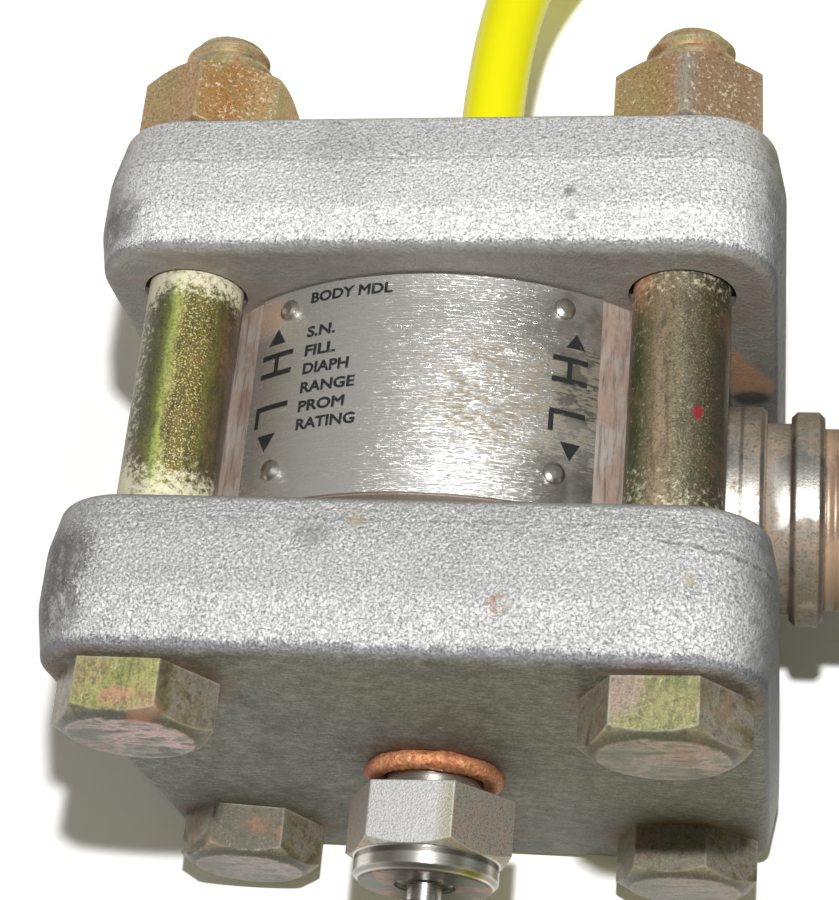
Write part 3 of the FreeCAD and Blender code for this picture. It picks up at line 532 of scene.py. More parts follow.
    def _marks(self, graph: Graph, cast: Value, x: Value, y: Value, z: Value, ragged: Value) -> Value:
        """Painted shade at the sides and lower down, with grime speckled into it, and small stains on the
        heads' tops, some of them painted shade on the left corners.

        Args:
            graph: The material's graph.
            cast: The colour so far.
            x: Place along X.
            y: Place along Y.
            z: Height.
            ragged: Noise for ragged edges.

        Returns:
            The stained colour.
        """
        # painted shade: darker at the rounded sides and below the tops
        side = (x - 0.6 * MM).size().between(33.5 * MM, 39.5 * MM)
        side_shade = side.larger(z.falling(50.0 * MM, 76.0 * MM))
        grime_and_side_shade = (ragged + (side_shade - 0.7) * 0.3).between(0.42, 0.6)
        cast = graph.layers(cast, (side_shade * 0.42, self.dark_grain_and_shade), (grime_and_side_shade * 0.55, self.grime))
        edge = (ragged - 0.5) * 4.0 + 0.5
        patchy = ragged.between(0.42, 0.52)
        for across, along, radius, share, tint in self.stains:
            blot = graph.blot(x - across * MM, y - along * MM, radius * MM, edge)
            cast = graph.mix(blot * patchy * share, cast, tint)
        return cast

    def _machined(self, graph: Graph, x: Value, y: Value, z: Value, broad: Value, grain: Value) -> Value:
        """The milled faces: dull olive grey with a paper-like grain and rust near the bolts.

        Args:
            graph: The material's graph.
            x: Place along X.
            y: Place along Y.
            z: Height.
            broad: Wide noise.
            grain: Fine noise.

        Returns:
            The faces' colour.
        """
        spot = (x, y, z)
        lines = graph.streaks(spot, (900.0, 60.0, 2200.0), 3.0, 0.65)
        cloud = graph.streaks(spot, (90.0, 60.0, 130.0), 4.0, 0.65)
        mottle = graph.streaks(spot, (380.0, 60.0, 560.0), 5.0, 0.75)
        corner = z.falling(5.0 * MM, 40.0 * MM) * x.between(6.0 * MM, 30.0 * MM)
        bolt = ((x.size() - BOLT_REACH) ** 2.0 + ((z - AXIS_Z).size() - BOLT_REACH) ** 2.0) ** 0.5
        ring = bolt.falling(8.5 * MM, 12.5 * MM) * cloud.between(0.38, 0.58)
        port = graph.blot(x, z - AXIS_Z, 10.5 * MM, cloud)
        inner = y.size().falling(self.inner_y, self.inner_y + 2.0 * MM)
        slope = z - 58.0 * MM + (x - 33.4 * MM) * 2.15 + (lines - 0.5) * (5.0 * MM)
        seep = slope.falling(-1.5 * MM, 0.8 * MM) * z.between(43.0 * MM, 45.0 * MM)
        seep = seep * x.between(30.0 * MM, 31.0 * MM) * cloud.between(0.3, 0.5)
        middle = x.size().falling(8.0 * MM, 24.0 * MM) * inner
        soot = graph.blot(x - 36.0 * MM, (z - 42.5 * MM) * 1.2, 2.6 * MM, cloud)
        return graph.layers(
            graph.mix(lines.between(0.36, 0.68), self.machined, self.streak),
            (grain.between(0.44, 0.62) * 0.7, self.grime),
            (cloud.between(0.5, 0.68) * 0.5, self.grime),
            (mottle.between(0.5, 0.64) * 0.45, self.grime),
            (mottle.falling(0.36, 0.5) * 0.4, self.polish),
            # darker towards the bottom of the faces
            (z.falling(0.0, 45.0 * MM) * 0.3, self.grime),
            (corner * 0.35, self.grime),
            (ring * 0.5, self.bolt_rust),
            (port * 0.5, self.port_rust),
            (inner * 0.4, self.inner_pale),
            (seep * inner * 0.7, self.seep),
            (middle * 0.45, self.inner_dark),
            (soot * inner * 0.8, self.grime),
            (broad.between(0.6, 0.76) * 0.15, self.rust),
        )

    def _crack(self, x: Value, y: Value, z: Value, wobble: Value) -> Value:
        """A faint crack-like crease on top of the low side head.

        Args:
            x: Place along X.
            y: Place along Y.
            z: Height.
            wobble: Noise that bends and breaks it.

        Returns:
            1 in the crease, 0 outside.
        """
        line = y - self.crack_y + (x - 24.0 * MM) * 0.13 + (wobble - 0.5) * (2.2 * MM)
        span = x.between(26.0 * MM, 30.0 * MM) * z.between(70.0 * MM, 76.0 * MM)
        return line.size().falling(0.08 * MM, 0.36 * MM) * span * wobble.between(0.38, 0.5)


@dataclass(frozen=True)
class BoltZinc:
    """Old yellow zinc on the bolts: soft tints round each shank that hold a painted highlight and painted
    shade, painted glints on the lit side, grime and white bloom.
    """

    name: str = "bolt_zinc"
    dark: Colour = (0.06, 0.055, 0.035)
    # painted glints on the lit side of the shanks
    spark: Colour = (0.85, 0.73, 0.36)
    speck: Colour = (0.6, 0.57, 0.47)
    bloom: Colour = (0.8, 0.76, 0.57)
    rust: Colour = (0.42, 0.2, 0.11)
    mark: Colour = (0.22, 0.012, 0.018)
    worn: Colour = (0.66, 0.62, 0.5)
    # painted shadow of the upper bolts on the lower bolts' tops
    shadowed_low_left_top: Colour = (0.09, 0.08, 0.075)
    shadowed_low_right_top: Colour = (0.34, 0.32, 0.26)
    glow: Colour = (0.52, 0.24, 0.17)
    blush: Colour = (0.45, 0.32, 0.29)
    chamfer: Colour = (0.085, 0.08, 0.07)
    low_end: Colour = (0.2, 0.19, 0.16)
    right_end: Colour = (0.14, 0.115, 0.08)
    dim_end: Colour = (0.15, 0.145, 0.13)
    # Tints round the left and right shanks: zinc colour with a painted highlight, the lime streak, and
    # painted shade at the sides
    left: Stops = (
        (0.28, (0.288, 0.28, 0.248)), (0.34, (0.128, 0.124, 0.084)), (0.43, (0.152, 0.148, 0.084)),
        (0.465, (0.24, 0.264, 0.088)), (0.485, (0.545, 0.638, 0.174)), (0.505, (0.464, 0.464, 0.139)),
        (0.53, (0.192, 0.16, 0.04)), (0.6, (0.208, 0.176, 0.04)), (0.635, (0.176, 0.168, 0.036)),
        (0.67, (0.144, 0.104, 0.04)), (0.71, (0.096, 0.072, 0.036)), (0.78, (0.288, 0.24, 0.208)),
    )
    right: Stops = (
        (0.27, (0.16, 0.128, 0.08)), (0.33, (0.039, 0.042, 0.017)), (0.365, (0.084, 0.101, 0.034)),
        (0.41, (0.272, 0.232, 0.136)), (0.445, (0.432, 0.32, 0.216)), (0.48, (0.272, 0.216, 0.136)),
        (0.53, (0.176, 0.16, 0.116)), (0.58, (0.136, 0.12, 0.072)), (0.63, (0.08, 0.064, 0.036)),
        (0.68, (0.072, 0.056, 0.032)), (0.74, (0.176, 0.152, 0.12)),
    )
    tops: Stops = (
        (0.32, (0.265, 0.281, 0.094)), (0.44, (0.39, 0.382, 0.148)), (0.54, (0.39, 0.343, 0.156)),
        (0.64, (0.359, 0.281, 0.172)), (0.74, (0.265, 0.242, 0.148)),
    )
    flanks: Stops = (
        (0.32, (0.125, 0.101, 0.055)), (0.43, (0.25, 0.218, 0.133)), (0.52, (0.328, 0.304, 0.25)),
        (0.6, (0.234, 0.203, 0.14)), (0.7, (0.39, 0.273, 0.218)),
    )
    ends: Stops = (
        (0.36, (0.045, 0.04, 0.032)), (0.41, (0.12, 0.12, 0.09)), (0.46, (0.25, 0.235, 0.21)),
        (0.5, (0.42, 0.32, 0.32)), (0.54, (0.66, 0.4, 0.47)), (0.58, (0.5, 0.36, 0.38)),
        (0.61, (0.24, 0.22, 0.18)), (0.67, (0.06, 0.055, 0.045)),
    )
    tips: Stops = (
        (0.3, (0.272, 0.16, 0.08)), (0.45, (0.56, 0.384, 0.208)), (0.55, (0.68, 0.544, 0.368)),
        (0.68, (0.592, 0.352, 0.224)), (0.78, (0.288, 0.176, 0.112)),
    )
    shank_radius: float = 5.55 * MM
    mark_turn: float = math.radians(26.8)
    mark_y: float = -2.0 * MM
    mark_radius: float = 0.75 * MM

    def build(self) -> bpy.types.Material:
        """Make the material.

        Returns:
            The material.
        """
        graph = Graph(self.name)
        place = graph.place()
        x, y, z = graph.axes(place)
        right, top, across, up = graph.from_bolt(x, z)
        cloud = graph.noise(place, 190.0, 4.0, 0.62, 0.5)
        fine = graph.noise(place, 3600.0, 5.0, 0.75)
        specks = graph.noise(place, 4600.0, 2.0, 0.5)
        drips = graph.streaks((x, y, z), (1100.0, 210.0, 1100.0), 5.0, 0.7)
        turn = graph.turn(across, up)
        share = turn / math.tau + 0.5 + (drips - 0.5) * 0.06 + (cloud - 0.5) * 0.05
        head = y.falling(-33.2 * MM, -32.6 * MM)
        tip = y.between(42.0 * MM, 42.4 * MM)
        shank = 1.0 - head.larger(tip)
        # the side of each shank that faces the light, where glints are painted
        lit = turn.between(-0.2, 0.1) * turn.falling(0.6, 0.95) * shank
        lit_side_glints = specks.falling(0.37, 0.45) * (lit * (0.7 - right * 0.56) + 0.05) * (1.0 - head)
        pits = graph.noise(place, 950.0, 4.0, 0.7).between(0.54, 0.64) * head
        white = self._bloom(graph, place, turn, y, right) * shank
        rust = graph.noise(place, 95.0, 5.0, 0.7).between(0.55, 0.7) * (0.3 + head * 0.25)
        seat = y.between(8.0 * MM, 15.0 * MM) * turn.falling(-0.75, -0.35) * right * shank
        rust = rust.larger(seat * drips.between(0.36, 0.52) * 0.8)
        round_shank = (turn - self.mark_turn) * self.shank_radius
        dot = graph.blot(round_shank, (y - self.mark_y) * 0.75, self.mark_radius, fine) * right * top
        edge = graph.worn(0.5 * MM) * cloud.between(0.3, 0.55)
        colour = graph.layers(
            graph.mix(right, graph.ramp(share, self.left), graph.ramp(share, self.right)),
            (drips.between(0.48, 0.66) * shank * 0.55, self.dark),
            (head, self._head(graph, cloud, right, top, across, up, y)),
            (tip, graph.ramp(cloud, self.tips)),
            (fine.between(0.46, 0.64) * (0.6 + lit * 0.25 - head * 0.15), self.dark),
            (lit_side_glints, self.spark),
            (fine.falling(0.32, 0.42) * head * 0.4, self.speck),
            (pits * 0.5, self.dark),
            (white * 0.8, self.bloom),
            (rust, self.rust),
            (dot * (1.0 - fine.between(0.5, 0.7) * 0.5), self.mark),
            (edge * head * 0.6, self.worn),
        )
        rough = 0.4 + fine * 0.12 + white.larger(rust) * 0.2
        metal = 0.62 - head * 0.22 - white * 0.4 - rust * 0.4 - dot * 0.6
        normal = graph.bump(fine * 0.6 + drips * 0.5 + cloud, 0.07 * MM, graph.soft_edges(0.3 * MM))
        return graph.surface(colour, rough, metal, normal)

    def _head(self, graph: Graph, cloud: Value, right: Value, top: Value, across: Value, up: Value,
              y: Value) -> Value:
        """The bolt heads: upper facets painted lighter and flanks darker as painted light and shade, dark
        chamfers, mauve end faces, and a painted shadow on the lower heads' tops.

        Args:
            graph: The material's graph.
            cloud: Wide noise.
            right: 1 on the bolts by the neck.
            top: 1 on the two upper bolts.
            across: Distance from the bolt's axis along X.
            up: Distance from the bolt's axis along Z.
            y: Place along the bolt.

        Returns:
            The heads' colour.
        """
        spot = (across, y, up)
        lines = graph.streaks(spot, (1900.0, 420.0, 300.0), 4.0, 0.7)
        smears = graph.streaks(spot, (190.0, 300.0, 330.0), 4.0, 0.55, 1.0)
        # painted light: facets that face up take the lighter top colours, the rest the darker flank
        # colours
        lit = graph.axes(graph.facing())[2].between(0.75, 0.92)
        ragged = (lines - 0.5) * 2.5 + 0.5
        glow = graph.blot((across - 0.4 * MM) * 0.6, y + 37.2 * MM, 1.2 * MM, ragged) * (1.0 - right) * top
        blush = graph.blot(across + 5.0 * MM, y + 34.5 * MM, 3.4 * MM, ragged) * right
        tops = graph.layers(
            graph.ramp(cloud, self.tops),
            (lines.between(0.44, 0.62) * 0.35, self.dark),
            # painted shadow of the upper bolts on the lower bolts' tops
            ((1.0 - top) * 0.85, graph.mix(right, self.shadowed_low_left_top, self.shadowed_low_right_top)),
            (glow * 0.6, self.glow),
            (blush * 0.75, self.blush),
            (right * 0.42, self.dark),
        )
        ends = graph.layers(
            graph.ramp(smears, self.ends),
            ((1.0 - top) * 0.6, self.low_end),
            (right * 0.4, self.right_end),
            (across.falling(-4.5 * MM, 0.5 * MM) * 0.6, self.dim_end),
        )
        radius = (across * across + up * up) ** 0.5
        chamfer = y.falling(-39.2 * MM, -38.3 * MM) * radius.between(6.8 * MM, 7.0 * MM)
        return graph.layers(
            graph.ramp(cloud, self.flanks),
            (lit, tops),
            (chamfer * 0.9, self.chamfer),
            (y.falling(-39.45 * MM, -39.3 * MM), ends),
        )

    @staticmethod
    def _bloom(graph: Graph, place: Value, turn: Value, y: Value, right: Value) -> Value:
        """White bloom low on the left shanks and faintly at the seats.

        Args:
            graph: The material's graph.
            place: Object coordinates.
            turn: Angle round the shank.
            y: Place along the shank.
            right: 1 on the bolts by the neck.

        Returns:
            How much bloom there is.
        """
        patch = graph.noise(place, 1500.0, 5.0, 0.75)
        shaded = turn.falling(-0.8, -0.3)
        near = y.falling(-14.0 * MM, -6.0 * MM)
        seat = y.between(10.0 * MM, 14.5 * MM)
        spread = (shaded * 0.5 + near * 1.2 + seat * 1.1) * (1.0 - right * 0.6) + 0.1
        return (patch + (spread - 0.5) * 0.26).between(0.48, 0.72)


@dataclass(frozen=True)
class NutZinc:
    """Golden brown zinc on the nuts, each facet with its own tint, with pale specks and edges."""

    name: str = "nut_zinc"
    left: Stops = (
        (0.3, (0.493, 0.374, 0.197)), (0.325, (0.612, 0.433, 0.217)), (0.4, (0.571, 0.394, 0.177)),
        (0.48, (0.651, 0.414, 0.236)), (0.492, (0.546, 0.334, 0.132)), (0.56, (0.528, 0.255, 0.079)),
        (0.64, (0.669, 0.44, 0.211)), (0.658, (0.528, 0.44, 0.238)), (0.72, (0.651, 0.44, 0.29)),
    )
    right: Stops = (
        (0.3, (0.37, 0.29, 0.141)), (0.335, (0.598, 0.44, 0.211)), (0.43, (0.546, 0.387, 0.158)),
        (0.475, (0.581, 0.352, 0.202)), (0.49, (0.528, 0.466, 0.37)), (0.51, (0.458, 0.387, 0.317)),
        (0.53, (0.481, 0.309, 0.183)), (0.63, (0.458, 0.309, 0.183)), (0.7, (0.572, 0.412, 0.274)),
    )
    pale: Colour = (0.82, 0.74, 0.58)
    olive: Colour = (0.5, 0.46, 0.2)
    dark: Colour = (0.1, 0.065, 0.035)

    def build(self) -> bpy.types.Material:
        """Make the material.

        Returns:
            The material.
        """
        graph = Graph(self.name)
        place = graph.place()
        x, _, z = graph.axes(place)
        right, _, across, up = graph.from_bolt(x, z)
        cloud = graph.noise(place, 210.0, 4.0, 0.65, 0.5)
        fine = graph.noise(place, 3200.0, 5.0, 0.72)
        turn = graph.turn(across, up)
        share = turn / math.tau + 0.5
        facet = turn.between(math.radians(-4.0), math.radians(0.0)) * turn.falling(1.0, 1.06)
        flakes = (graph.noise(place, 2000.0, 4.0, 0.7) + facet * 0.03).between(0.58, 0.66)
        edge = graph.worn(0.6 * MM) * cloud.between(0.28, 0.5)
        colour = graph.layers(
            graph.mix(right, graph.ramp(share, self.left), graph.ramp(share, self.right)),
            (cloud.between(0.5, 0.68) * 0.4, self.olive),
            (fine.between(0.47, 0.66) * 0.65, self.dark),
            (flakes * 0.7, self.pale),
            (edge * 0.6, self.pale),
        )
        rough = 0.42 + fine * 0.14 + flakes * 0.1
        normal = graph.bump(fine * 0.5 + flakes * 0.5 + cloud, 0.06 * MM, graph.soft_edges(0.35 * MM))
        return graph.surface(colour, rough, 0.6 - flakes * 0.3, normal)


@dataclass(frozen=True)
class ThreadZinc:
    """Worn zinc on the bolts' threads: pale crests, rusty brown flanks."""

    name: str = "thread_zinc"
    tints: Stops = (
        (0.3, (0.295, 0.18, 0.09)), (0.42, (0.574, 0.361, 0.189)), (0.5, (0.64, 0.525, 0.328)),
        (0.58, (0.426, 0.41, 0.18)), (0.66, (0.656, 0.41, 0.262)), (0.78, (0.295, 0.164, 0.098)),
    )
    dark: Colour = (0.08, 0.055, 0.035)
    pale: Colour = (0.78, 0.7, 0.56)

    def build(self) -> bpy.types.Material:
        """Make the material.

        Returns:
            The material.
        """
        graph = Graph(self.name)
        place = graph.place()
        cloud = graph.noise(place, 260.0, 4.0, 0.65, 0.4)
        fine = graph.noise(place, 3000.0, 3.0, 0.65)
        colour = graph.layers(
            graph.ramp(cloud, self.tints),
            (fine.between(0.48, 0.7) * 0.5, self.dark),
            (graph.worn(0.3 * MM) * 0.5, self.pale),
        )
        normal = graph.bump(fine + cloud * 0.5, 0.05 * MM, graph.soft_edges(0.15 * MM))
        return graph.surface(colour, 0.4 + fine * 0.15, 0.6, normal)


@dataclass(frozen=True)
class MeterSteel:
    """The meter body: rust-tinted drum and a turned neck, polished in a band and stained brown, with
    painted shade on the neck's sides and its thread and a painted shadow below the plate.
    """

    name: str = "meter_steel"
    bright: Colour = (0.56, 0.545, 0.51)
    marked: Colour = (0.3, 0.285, 0.26)
    drum: Colour = (0.48, 0.345, 0.275)
    drum_pale: Colour = (0.56, 0.5, 0.45)
    brown: Colour = (0.34, 0.24, 0.165)
    olive: Colour = (0.19, 0.16, 0.11)
    worn_thread: Colour = (0.56, 0.36, 0.23)
    rust: Colour = (0.42, 0.19, 0.08)
    # soot colour, also laid on as painted shade and shadow
    soot: Colour = (0.1, 0.078, 0.06)
    drum_reach: float = 31.0 * MM
    thread_start: float = 44.9 * MM
    thread_pitch: float = 1.6 * MM
    groove: tuple[float, float] = (38.1 * MM, 40.9 * MM)
    tool_lines: tuple[float, ...] = (35.2, 37.6, 41.2, 44.5)

    def build(self) -> bpy.types.Material:
        """Make the material.

        Returns:
            The material.
        """
        graph = Graph(self.name)
        place = graph.place()
        x, y, z = graph.axes(place)
        neck = x.between(self.drum_reach, self.drum_reach + 0.8 * MM)
        marks = graph.streaks((x, y, z), (3200.0, 90.0, 90.0), 4.0, 0.7)
        scuffs = graph.streaks((x, y, z), (1500.0, 160.0, 1500.0), 5.0, 0.7)
        cloud = graph.noise(place, 230.0, 5.0, 0.7, 0.4)
        patch = graph.noise(place, 560.0, 5.0, 0.75)
        fine = graph.noise(place, 3000.0, 3.0, 0.7)
        polished = y.near(-1.5 * MM, 2.2 * MM, 7.5 * MM)
        sunk = x.between(self.groove[0] - 0.3 * MM, self.groove[0]) * x.falling(*self.groove)
        stain = (cloud + 0.12 - polished * 0.24 + sunk * 0.1).between(0.4, 0.6)
        # painted shade on the neck's sides away from its top
        shaded = y.falling(-12.0 * MM, -6.0 * MM).larger(y.between(5.0 * MM, 11.0 * MM))
        thread = x.between(self.thread_start, self.thread_start + 0.2 * MM)
        wave = ((x - self.thread_start) * (math.tau / self.thread_pitch)).sine() * thread
        rim = graph.worn(0.7 * MM) * neck * patch.between(0.4, 0.58)
        steel = graph.layers(
            self.bright,
            (marks.between(0.3, 0.7) * 0.6, self.marked),
            (stain * 0.75, graph.mix(patch.between(0.4, 0.62), self.brown, self.olive)),
            (fine.between(0.5, 0.7) * (stain * 0.6 + 0.25), self.soot),
            (shaded * (0.35 - sunk * 0.2), self.soot),
            (sunk * 0.25, self.brown),
        )
        skin = graph.layers(
            self.drum,
            (cloud.between(0.36, 0.66), self.drum_pale),
            (scuffs.between(0.46, 0.68) * 0.6, self.soot),
            # painted shadow along the drum below the plate's lower edge
            (y.falling(-12.4 * MM, -12.25 * MM) * 0.9, self.soot),
        )
        colour = graph.layers(
            skin,
            (neck, steel),
            (thread * 0.8, self.worn_thread),
            # painted shade on the thread's sides
            (shaded * thread * 0.4, self.soot),
            (rim * 0.6, self.rust),
            ((0.0 - wave).between(0.1, 0.9) * 0.25, self.soot),
        )
        for line in self.tool_lines:
            cut = x.near(line * MM, 0.12 * MM, 0.32 * MM)
            colour = graph.mix(cut * neck * 0.65, colour, self.soot)
        rough = 0.52 - neck * 0.16 + marks * 0.12 + stain * neck * 0.2 + sunk * 0.3
        metal = 0.45 + neck * 0.45 - stain * neck * 0.6 - thread * 0.3 - sunk * 0.35
        height = marks * 0.05 * neck + wave * 0.4 + fine * 0.1 + patch * 0.12
        normal = graph.bump(height, 0.35 * MM, graph.soft_edges(0.35 * MM))
        return graph.surface(colour, rough, metal, normal)


@dataclass(frozen=True)
class FittingSteel:
    """The capillary fittings: a sandblasted top facet painted paler as painted light, brown-grey side
    facets and a polished collar.
    """

    name: str = "fitting_steel"
    lit_blasted: Colour = (0.58, 0.577, 0.565)
    dull: Colour = (0.42, 0.39, 0.345)
    warm: Colour = (0.46, 0.37, 0.295)
    bright: Colour = (0.68, 0.66, 0.62)
    worn: Colour = (0.82, 0.81, 0.78)
    olive: Colour = (0.3, 0.27, 0.12)
    dark: Colour = (0.1, 0.095, 0.085)
    red: Colour = (0.36, 0.17, 0.12)
    facet_turn: float = math.radians(-6.5)
    facet_half: float = math.radians(30.0)
    hex_start: float = 37.0 * MM
    hex_end: float = 44.4 * MM
    collar_end: float = 47.2 * MM

    def build(self) -> bpy.types.Material:
        """Make the material.

        Returns:
            The material.
        """
        graph = Graph(self.name)
        place = graph.place()
        x, y, z = graph.axes(place)
        along = y.size()
        up = z - AXIS_Z
        turn = graph.turn(x, up) - self.facet_turn
        # painted light: the facet that faces up is painted paler than the side facets
        top = turn.size().falling(self.facet_half - 0.02, self.facet_half + 0.01)
        hexagon = along.between(self.hex_start - 0.1 * MM, self.hex_start + 0.1 * MM)
        reach = (x * x + up * up) ** 0.5
        collar = along.between(self.hex_end - 1.2 * MM, self.hex_end) * reach.falling(8.6 * MM, 8.75 * MM)
        facets = hexagon * (1.0 - collar)
        end = along.between(self.collar_end - 0.3 * MM, self.collar_end - 0.1 * MM)
        fine = graph.noise(place, 4400.0, 2.0, 0.6)
        cloud = graph.noise(place, 260.0, 5.0, 0.7, 0.4)
        marks = graph.streaks((y, x), (4600.0, 60.0), 3.0, 0.65)
        stain = turn.between(self.facet_half * 0.55, self.facet_half * 0.95) * top
        stain = stain * cloud.between(0.36, 0.54)
        band = along.near(self.hex_end + 0.35 * MM, 0.2 * MM, 0.5 * MM)
        line = along.near(self.collar_end - 0.55 * MM, 0.1 * MM, 0.35 * MM)
        facet = graph.layers(
            graph.mix(cloud.between(0.42, 0.6), self.dull, self.warm),
            (top, self.lit_blasted),
            (fine.between(0.46, 0.68) * (0.6 - top * 0.25), self.dark),
            (stain * 0.6, self.olive),
        )
        turned = graph.layers(
            self.bright,
            (marks.between(0.35, 0.7) * 0.45, self.dull),
            (cloud.between(0.48, 0.66) * 0.5, self.warm),
            (band.larger(line) * 0.7, self.dark),
        )
        colour = graph.layers(
            turned,
            (facets, facet),
            (end, self.dark),
            (end * cloud.between(0.52, 0.62) * 0.7, self.red),
            (graph.worn(0.35 * MM) * facets * 0.5, self.worn),
        )
        rough = 0.24 + facets * (0.22 + top * 0.1) + marks * 0.08 + end * 0.12
        metal = 0.95 - facets * 0.4 - end * 0.25
        height = fine * facets * (0.4 + top * 0.6) + marks * 0.12
        normal = graph.bump(height, 0.08 * MM, graph.soft_edges(0.3 * MM))
        return graph.surface(colour, rough, metal, normal)


@dataclass(frozen=True)
class TurnedSteel:
    """Plain stainless turned about Y, with fine tool marks."""

    name: str
    pale: Colour = (0.72, 0.7, 0.67)
    line: Colour = (0.42, 0.41, 0.4)
    tan: Colour = (0.5, 0.4, 0.3)

    def build(self) -> bpy.types.Material:
        """Make the material.

        Returns:
            The material.
        """
        graph = Graph(self.name)
        place = graph.place()
        _, y, _ = graph.axes(place)
        marks = graph.streaks((y,), (5200.0,), 2.0, 0.6)
        cloud = graph.noise(place, 140.0, 4.0, 0.6)
        colour = graph.layers(
            self.pale,
            (marks * 0.3, self.line),
            (cloud.between(0.55, 0.75) * 0.3, self.tan),
        )
        normal = graph.bump(marks, 0.012 * MM, graph.soft_edges(0.2 * MM))
        return graph.surface(colour, 0.22 + marks * 0.12, 1.0, normal)


@dataclass(frozen=True)
class BrushedPlate:
    """Brushed stainless sheet with lines round the drum, brown dirt, a rusty corner, painted shade on its
    left and a dark tan on its right that is partly painted shade.
    """

    name: str = "brushed_plate"
    pale: Colour = (0.96, 0.955, 0.94)
    line: Colour = (0.7, 0.69, 0.67)
    dirt: Colour = (0.17, 0.12, 0.055)
    # a tan tint, partly painted shade on the plate's right
    tan: Colour = (0.22, 0.2, 0.15)
    # painted shade on the plate's left
    shade: Colour = (0.34, 0.33, 0.3)
    rust: Colour = (0.42, 0.2, 0.08)
    radius: float = 34.0 * MM
    corner_turn: float = math.radians(-34.0)
    corner_y: float = 12.0 * MM

    def build(self) -> bpy.types.Material:
        """Make the material.

        Returns:
            The material.
        """
        graph = Graph(self.name)
        place = graph.place()
        x, y, z = graph.axes(place)
        turn = graph.turn(x, z - AXIS_Z)
        lines = graph.streaks((turn, y), (5.0, 8600.0), 4.0, 0.7)
        smear = graph.streaks((turn, y), (24.0, 3300.0), 5.0, 0.68)
        field = graph.streaks((turn, y), (9.0, 330.0), 3.0, 0.6)
        cloud = graph.noise(place, 170.0, 4.0, 0.6)
        right = turn.between(math.radians(-12.0), math.radians(10.0))
        where = right * y.near(0.5 * MM, 4.5 * MM, 10.0 * MM) * field.between(0.36, 0.56)
        dirt = (smear + (where - 0.6) * 0.2).between(0.49, 0.62)
        # tan on the right, partly painted shade
        tan = turn.between(math.radians(4.0), math.radians(32.0)) * (cloud.between(0.36, 0.6) * 0.5 + 0.5)
        # painted shade on the left
        shade = turn.falling(math.radians(-36.0), math.radians(-14.0))
        round_plate = (turn - self.corner_turn) * self.radius
        corner = graph.blot(round_plate, y - self.corner_y, 3.2 * MM, cloud)
        colour = graph.layers(
            self.pale,
            (lines.between(0.35, 0.7) * 0.5, self.line),
            (dirt * 0.85, self.dirt),
            (tan * 0.85, self.tan),
            (shade * 0.3, self.shade),
            (corner * 0.6, self.rust),
        )
        rough = 0.21 + lines * 0.1 + dirt * 0.25
        metal = 0.88 - dirt * 0.65 - corner * 0.3
        return graph.surface(colour, rough, metal, graph.bump(lines, 0.046 * MM))


@dataclass(frozen=True)
class PlateInk:
    """Black print with a little wear."""

    name: str = "plate_ink"
    ink: Colour = (0.018, 0.018, 0.02)
    bare: Colour = (0.3, 0.29, 0.28)

    def build(self) -> bpy.types.Material:
        """Make the material.

        Returns:
            The material.
        """
        graph = Graph(self.name)
        wear = graph.noise(graph.place(), 900.0, 4.0, 0.7).between(0.6, 0.72)
        colour = graph.mix(wear * 0.6, self.ink, self.bare)
        return graph.surface(colour, 0.4 + wear * 0.1, wear * 0.5)


@dataclass(frozen=True)
class Sheath:
    """Smooth yellow plastic sheath."""

    name: str = "yellow_sheath"
    colour: Colour = (1.0, 0.95, 0.0)
    dirt: Colour = (0.55, 0.38, 0.02)

    def build(self) -> bpy.types.Material:
        """Make the material.

        Returns:
            The material.
        """
        graph = Graph(self.name)
        place = graph.place()
        dirt = graph.noise(place, 220.0, 4.0, 0.6).between(0.62, 0.8)
        colour = graph.mix(dirt * 0.12, self.colour, self.dirt)
        grain = graph.noise(place, 2600.0, 2.0)
        return graph.surface(colour, 0.34 + dirt * 0.15, 0.0, graph.bump(grain, 0.01 * MM))


@dataclass(frozen=True)
class Copper:
    """Bright copper wool-like grain with dark oxide in its hollows and painted shade on the bead's left
    and right sides.
    """

    name: str = "copper"
    tints: Stops = (
        (0.3, (0.24, 0.06, 0.025)), (0.44, (0.62, 0.22, 0.09)), (0.56, (0.78, 0.38, 0.18)),
        (0.68, (0.9, 0.6, 0.38)),
    )
    oxide: Colour = (0.34, 0.09, 0.05)
    # painted shade on the bead's left and right sides
    left: Colour = (0.2, 0.05, 0.035)
    right: Colour = (0.2, 0.07, 0.04)

    def build(self) -> bpy.types.Material:
        """Make the material.

        Returns:
            The material.
        """
        graph = Graph(self.name)
        place = graph.place()
        x, y, z = graph.axes(place)
        turn = graph.turn(x, z - AXIS_Z)
        fibre = graph.streaks((turn, y, z), (22.0, 2600.0, 1200.0), 5.0, 0.75)
        cloud = graph.noise(place, 300.0, 4.0, 0.65)
        colour = graph.layers(
            graph.ramp(fibre, self.tints),
            (cloud.between(0.5, 0.68) * 0.55, self.oxide),
            # painted shade on the bead's left and right sides
            (turn.falling(-1.3, -0.7) * 0.6, self.left),
            (turn.between(0.5, 1.2) * 0.35, self.right),
        )
        return graph.surface(colour, 0.45 + fibre * 0.2, 0.5, graph.bump(fibre, 0.12 * MM))


